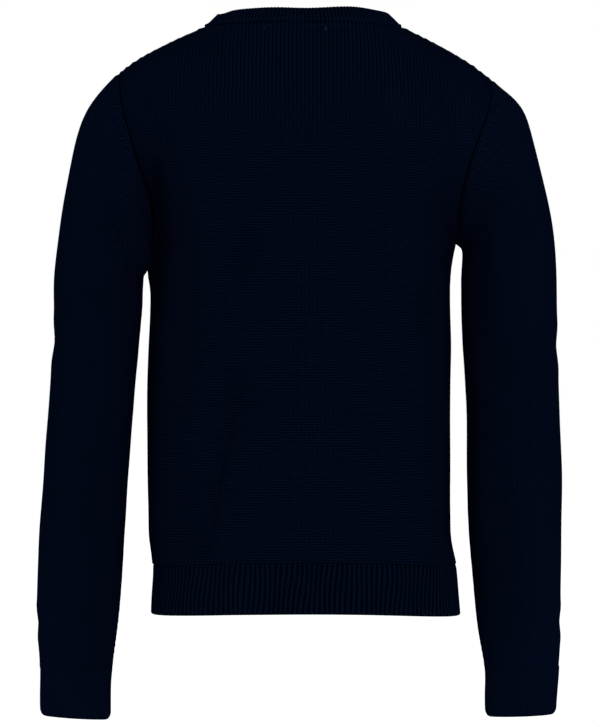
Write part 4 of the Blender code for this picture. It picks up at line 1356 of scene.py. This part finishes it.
button = {
    "count": 6, "radius": 7.5, "plate": 4.7, "sink": 0.8, "holeAt": 1.5, "holeRadius": 0.85,
    "axisSteps": 6, "arcSteps": 12,
    # the plate round a hole: share of the way out to its border, and how far it is sunk there
    "holeRings": ((0.0, 0.22), (0.07, 0.05), (0.2, 0.0), (0.5, 0.0), (0.8, 0.0), (1.0, 0.0)),
    # the rim's section: radius, with height over the plate, depth from the top, height from the back
    "rimFoot": (5.05, 0.12),
    "rimFace": ((5.4, 0.22), (5.8, 0.03), (6.3, 0.0), (6.8, 0.12), (7.2, 0.42), (7.45, 0.9)),
    "rimBack": ((7.4, 0.75), (7.1, 0.3), (6.5, 0.04), (5.6, 0.0)),
    # the thread: how far it goes into the band and under the plate, and its bow over the plate
    "strand": 0.27, "strandGap": 0.3, "threadDown": 1.6, "threadBend": 0.5, "threadSteps": 33,
    "threadBow": ((0.88, 0.05), (0.5, 0.2)), "threadTop": 0.25,
    "slitLong": 19.0, "slitWide": 1.5, "slitPitch": 0.95, "slitBead": (0.85, 0.42, 0.42), "slitLift": -0.25,
    "barFrom": 0.5, "barStep": 0.6, "barBead": (1.9, 0.42, 0.45), "barLift": -0.2,
}


def merged(points, faces):
    # points that share a place become one
    _, keep, turned = np.unique(points.round(4), axis=0, return_index=True, return_inverse=True)
    return points[keep], [turned.ravel()[part] for part in faces]


def buttonForm(thick):
    # a plate with four holes, each quarter laid out in rings round its own hole, and a raised rim
    axis, arc = button["axisSteps"], button["arcSteps"]
    count = 2 * axis + arc
    out = np.linspace(0, button["plate"], axis + 1)
    turn = np.linspace(0, math.pi / 2, arc + 1)
    border = np.concatenate([np.column_stack([out, 0 * out]),
                             button["plate"] * np.column_stack([np.cos(turn), np.sin(turn)])[1:],
                             np.column_stack([0 * out, out])[::-1][1:-1]])
    # the hole's first point is the one nearest the button's middle
    around = math.radians(225) + np.arange(count) * 2 * math.pi / count
    hole = button["holeAt"] + button["holeRadius"] * np.column_stack([np.cos(around), np.sin(around)])
    plateTop = thick - button["sink"]
    rings, heights = [], []
    for share, sink in button["holeRings"]:
        rings.append(hole * (1 - share) + border * share)
        heights.append(sink)
    points, faces = [], []
    start = 0
    for quarter in range(4):
        c, s = math.cos(quarter * math.pi / 2), math.sin(quarter * math.pi / 2)
        spin = np.array([[c, s], [-s, c]])
        for top in (True, False):
            level = [plateTop - sink if top else sink for sink in heights]
            for ring, z in zip(rings, level):
                points.append(np.column_stack([ring @ spin, np.full(count, z)]))
            quads = gridFaces(len(rings), count, True)[:, [0, 3, 2, 1]] + start
            faces.append(quads if top else quads[:, ::-1])
            start += len(rings) * count
        wall = np.arange(count)
        after = (wall + 1) % count
        upper = start - 2 * len(rings) * count
        lower = start - len(rings) * count
        faces.append(np.stack([upper + wall, upper + after, lower + after, lower + wall], axis=1))
    foot, rise = button["rimFoot"]
    profile = [(button["plate"], plateTop), (foot, plateTop + rise)]
    profile += [(reach, thick - drop) for reach, drop in button["rimFace"]]
    profile += [(button["radius"], thick / 2), *button["rimBack"], (button["plate"], 0.0)]
    turn = np.arange(4 * arc) * 2 * math.pi / (4 * arc)
    for reach, z in profile:
        points.append(np.column_stack([reach * np.cos(turn), reach * np.sin(turn), np.full(len(turn), z)]))
    faces.append(gridFaces(len(profile), len(turn), True)[:, [0, 3, 2, 1]] + start)
    return merged(np.concatenate(points), faces)


def threadForm(thick):
    # two crossed stitches of two strands each, down through the holes into the band
    top = thick - button["sink"]
    parts = []
    for number, lean in enumerate((45, 135)):
        way = np.array([math.cos(math.radians(lean)), math.sin(math.radians(lean)), 0.0])
        over = np.array([-way[1], way[0], 0.0])
        reach = button["holeAt"] * math.sqrt(2)
        rise = top + button["strand"] + number * 2 * button["strand"]
        for gap in (-1, 1):
            half = [(1.0, -button["threadDown"]), (1.0, top - button["threadBend"])]
            half += [(share, rise + bow) for share, bow in button["threadBow"]]
            path = [(-reach * x, z) for x, z in half] + [(0, rise + button["threadTop"])]
            path += [(reach * x, z) for x, z in half[::-1]]
            steps = np.linspace(0, len(path) - 1, button["threadSteps"])
            line = splineWeights(len(path), steps) @ np.array(path)
            spots = line[:, :1] * way + over * gap * button["strandGap"]
            spots[:, 2] += line[:, 1]
            parts.append(tube(spots, button["strand"], button["strand"]))
    return joined(parts)


def faceForward(points, middle, back):
    # from the button's own plane to its place on the front, facing -Y
    return np.column_stack([middle[0] + points[:, 0], back - points[:, 2], middle[1] + points[:, 1]])


bandBase = bases["bandRight"]
bandMiddle = (bandBase["across"][0, 0] + bandBase["across"][0, -1]) / 2
bandLine = bandBase["points"][:, bandBase["points"].shape[1] // 2]
for number in range(1, button["count"] + 1):
    nodeName = "button_%d" % number
    lowCorner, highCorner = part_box(nodeName)
    middle = ((lowCorner[0] + highCorner[0]) / 2 / mm, (lowCorner[2] + highCorner[2]) / 2 / mm)
    back = highCorner[1] / mm
    thick = (highCorner[1] - lowCorner[1]) / mm
    points, faces = buttonForm(thick)
    item = putMesh("button%d" % number, faceForward(points, middle, back), faces, finishes["button"])
    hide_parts(nodeName)
    points, faces = threadForm(thick)
    item = putMesh("buttonThread%d" % number, faceForward(points, middle, back), faces, finishes["thread"])
    # the hole: a row of small stitches down each side of a slit and a bar across each end
    level = np.interp(middle[1], bandLine[:, 2], bandBase["up"][:, bandBase["up"].shape[1] // 2])
    half = button["slitLong"] / 2
    steps = np.arange(-half, half + button["slitPitch"] / 2, button["slitPitch"])
    spots = [(bandMiddle + side * button["slitWide"], level + step) for side in (-1, 1) for step in steps]
    bars = [(bandMiddle, level + end * (half + button["barFrom"] + k * button["barStep"]))
            for end in (-1, 1) for k in (0, 1)]
    parts = [stitchesOn(bandBase, spots, button["slitBead"], button["slitLift"]),
             stitchesOn(bandBase, bars, button["barBead"], button["barLift"])]
    putStitches("buttonhole%d" % number, parts, finishes["thread"])
print("buttons sewn on")

# camera, floor and light

view = {
    "place": (0.0038, 3.0, -0.2869),
    "lens": 174.8,
    "sensor": 36.0,
    "floor": -1.10,               # where the wearer would stand
    "floorSize": 30.0,
    "floorTone": 0.9,
    "floorRoughness": 0.9,
    "floorGlow": 0.95,
    "roomLight": 0.14,
    "lampAim": (0, 0, -0.3),
    "lampSize": 1.2,
}

camera = bpy.data.cameras.new("camera")
camera.lens = view["lens"]
camera.sensor_width = view["sensor"]
cameraItem = bpy.data.objects.new("camera", camera)
cameraItem.location = view["place"]
cameraItem.rotation_euler = (math.pi / 2, 0, math.pi)
bpy.context.scene.collection.objects.link(cameraItem)
bpy.context.scene.camera = cameraItem

floorTree = Tree("paleFloor")
floorTree.shader.inputs["Base Color"].default_value = (view["floorTone"],) * 3 + (1.0,)
floorTree.shader.inputs["Roughness"].default_value = view["floorRoughness"]
floorTree.shader.inputs["Emission Color"].default_value = (1.0, 1.0, 1.0, 1.0)
floorTree.shader.inputs["Emission Strength"].default_value = view["floorGlow"]
size = view["floorSize"]
mesh = bpy.data.meshes.new("floor")
corners = ((-size, -size), (size, -size), (size, size), (-size, size))
mesh.from_pydata([(x, y, view["floor"]) for x, y in corners], [], [(0, 1, 2, 3)])
mesh.materials.append(floorTree.material)
floor = bpy.data.objects.new("floor", mesh)
bpy.context.scene.collection.objects.link(floor)
floor.visible_diffuse = False      # the glow that keeps it pale stays off the knit
floor.visible_glossy = False

world = bpy.data.worlds.new("studio")
world.use_nodes = True
nodes, links = world.node_tree.nodes, world.node_tree.links
nodes["Background"].inputs["Color"].default_value = (1.0, 1.0, 1.0, 1.0)
# seen as plain white, but lighting the room more softly than that
seen = nodes.new("ShaderNodeLightPath").outputs["Is Camera Ray"]
strength = nodes.new("ShaderNodeMapRange")
strength.inputs["To Min"].default_value = view["roomLight"]
strength.inputs["To Max"].default_value = 1.0
links.new(seen, strength.inputs["Value"])
links.new(strength.outputs[0], nodes["Background"].inputs["Strength"])
bpy.context.scene.world = world
bpy.context.scene.view_settings.view_transform = "Standard"

# name, place, watts
lamps = [
    ("behind", (-0.9, 2.5, -0.2), 11.6),
    ("lowBehind", (0.0, 2.4, -1.0), 5.0),
    ("before", (0.9, -2.5, -0.2), 11.6),
    ("lowBefore", (0.0, -2.4, -1.0), 5.0),
    ("leftSide", (2.7, -0.1, 0.2), 9.5),
    ("rightSide", (-2.7, 0.1, 0.2), 4.0),
    ("above", (0.0, 0.8, 2.3), 3.2),
]
for name, place, watts in lamps:
    lamp = bpy.data.lights.new(name, "AREA")
    lamp.size = view["lampSize"]
    lamp.energy = watts
    item = bpy.data.objects.new(name, lamp)
    item.location = place
    item.visible_camera = False
    aim = Vector(view["lampAim"]) - Vector(place)
    item.rotation_euler = aim.to_track_quat("-Z", "Y").to_euler()
    bpy.context.scene.collection.objects.link(item)
print("stage set")
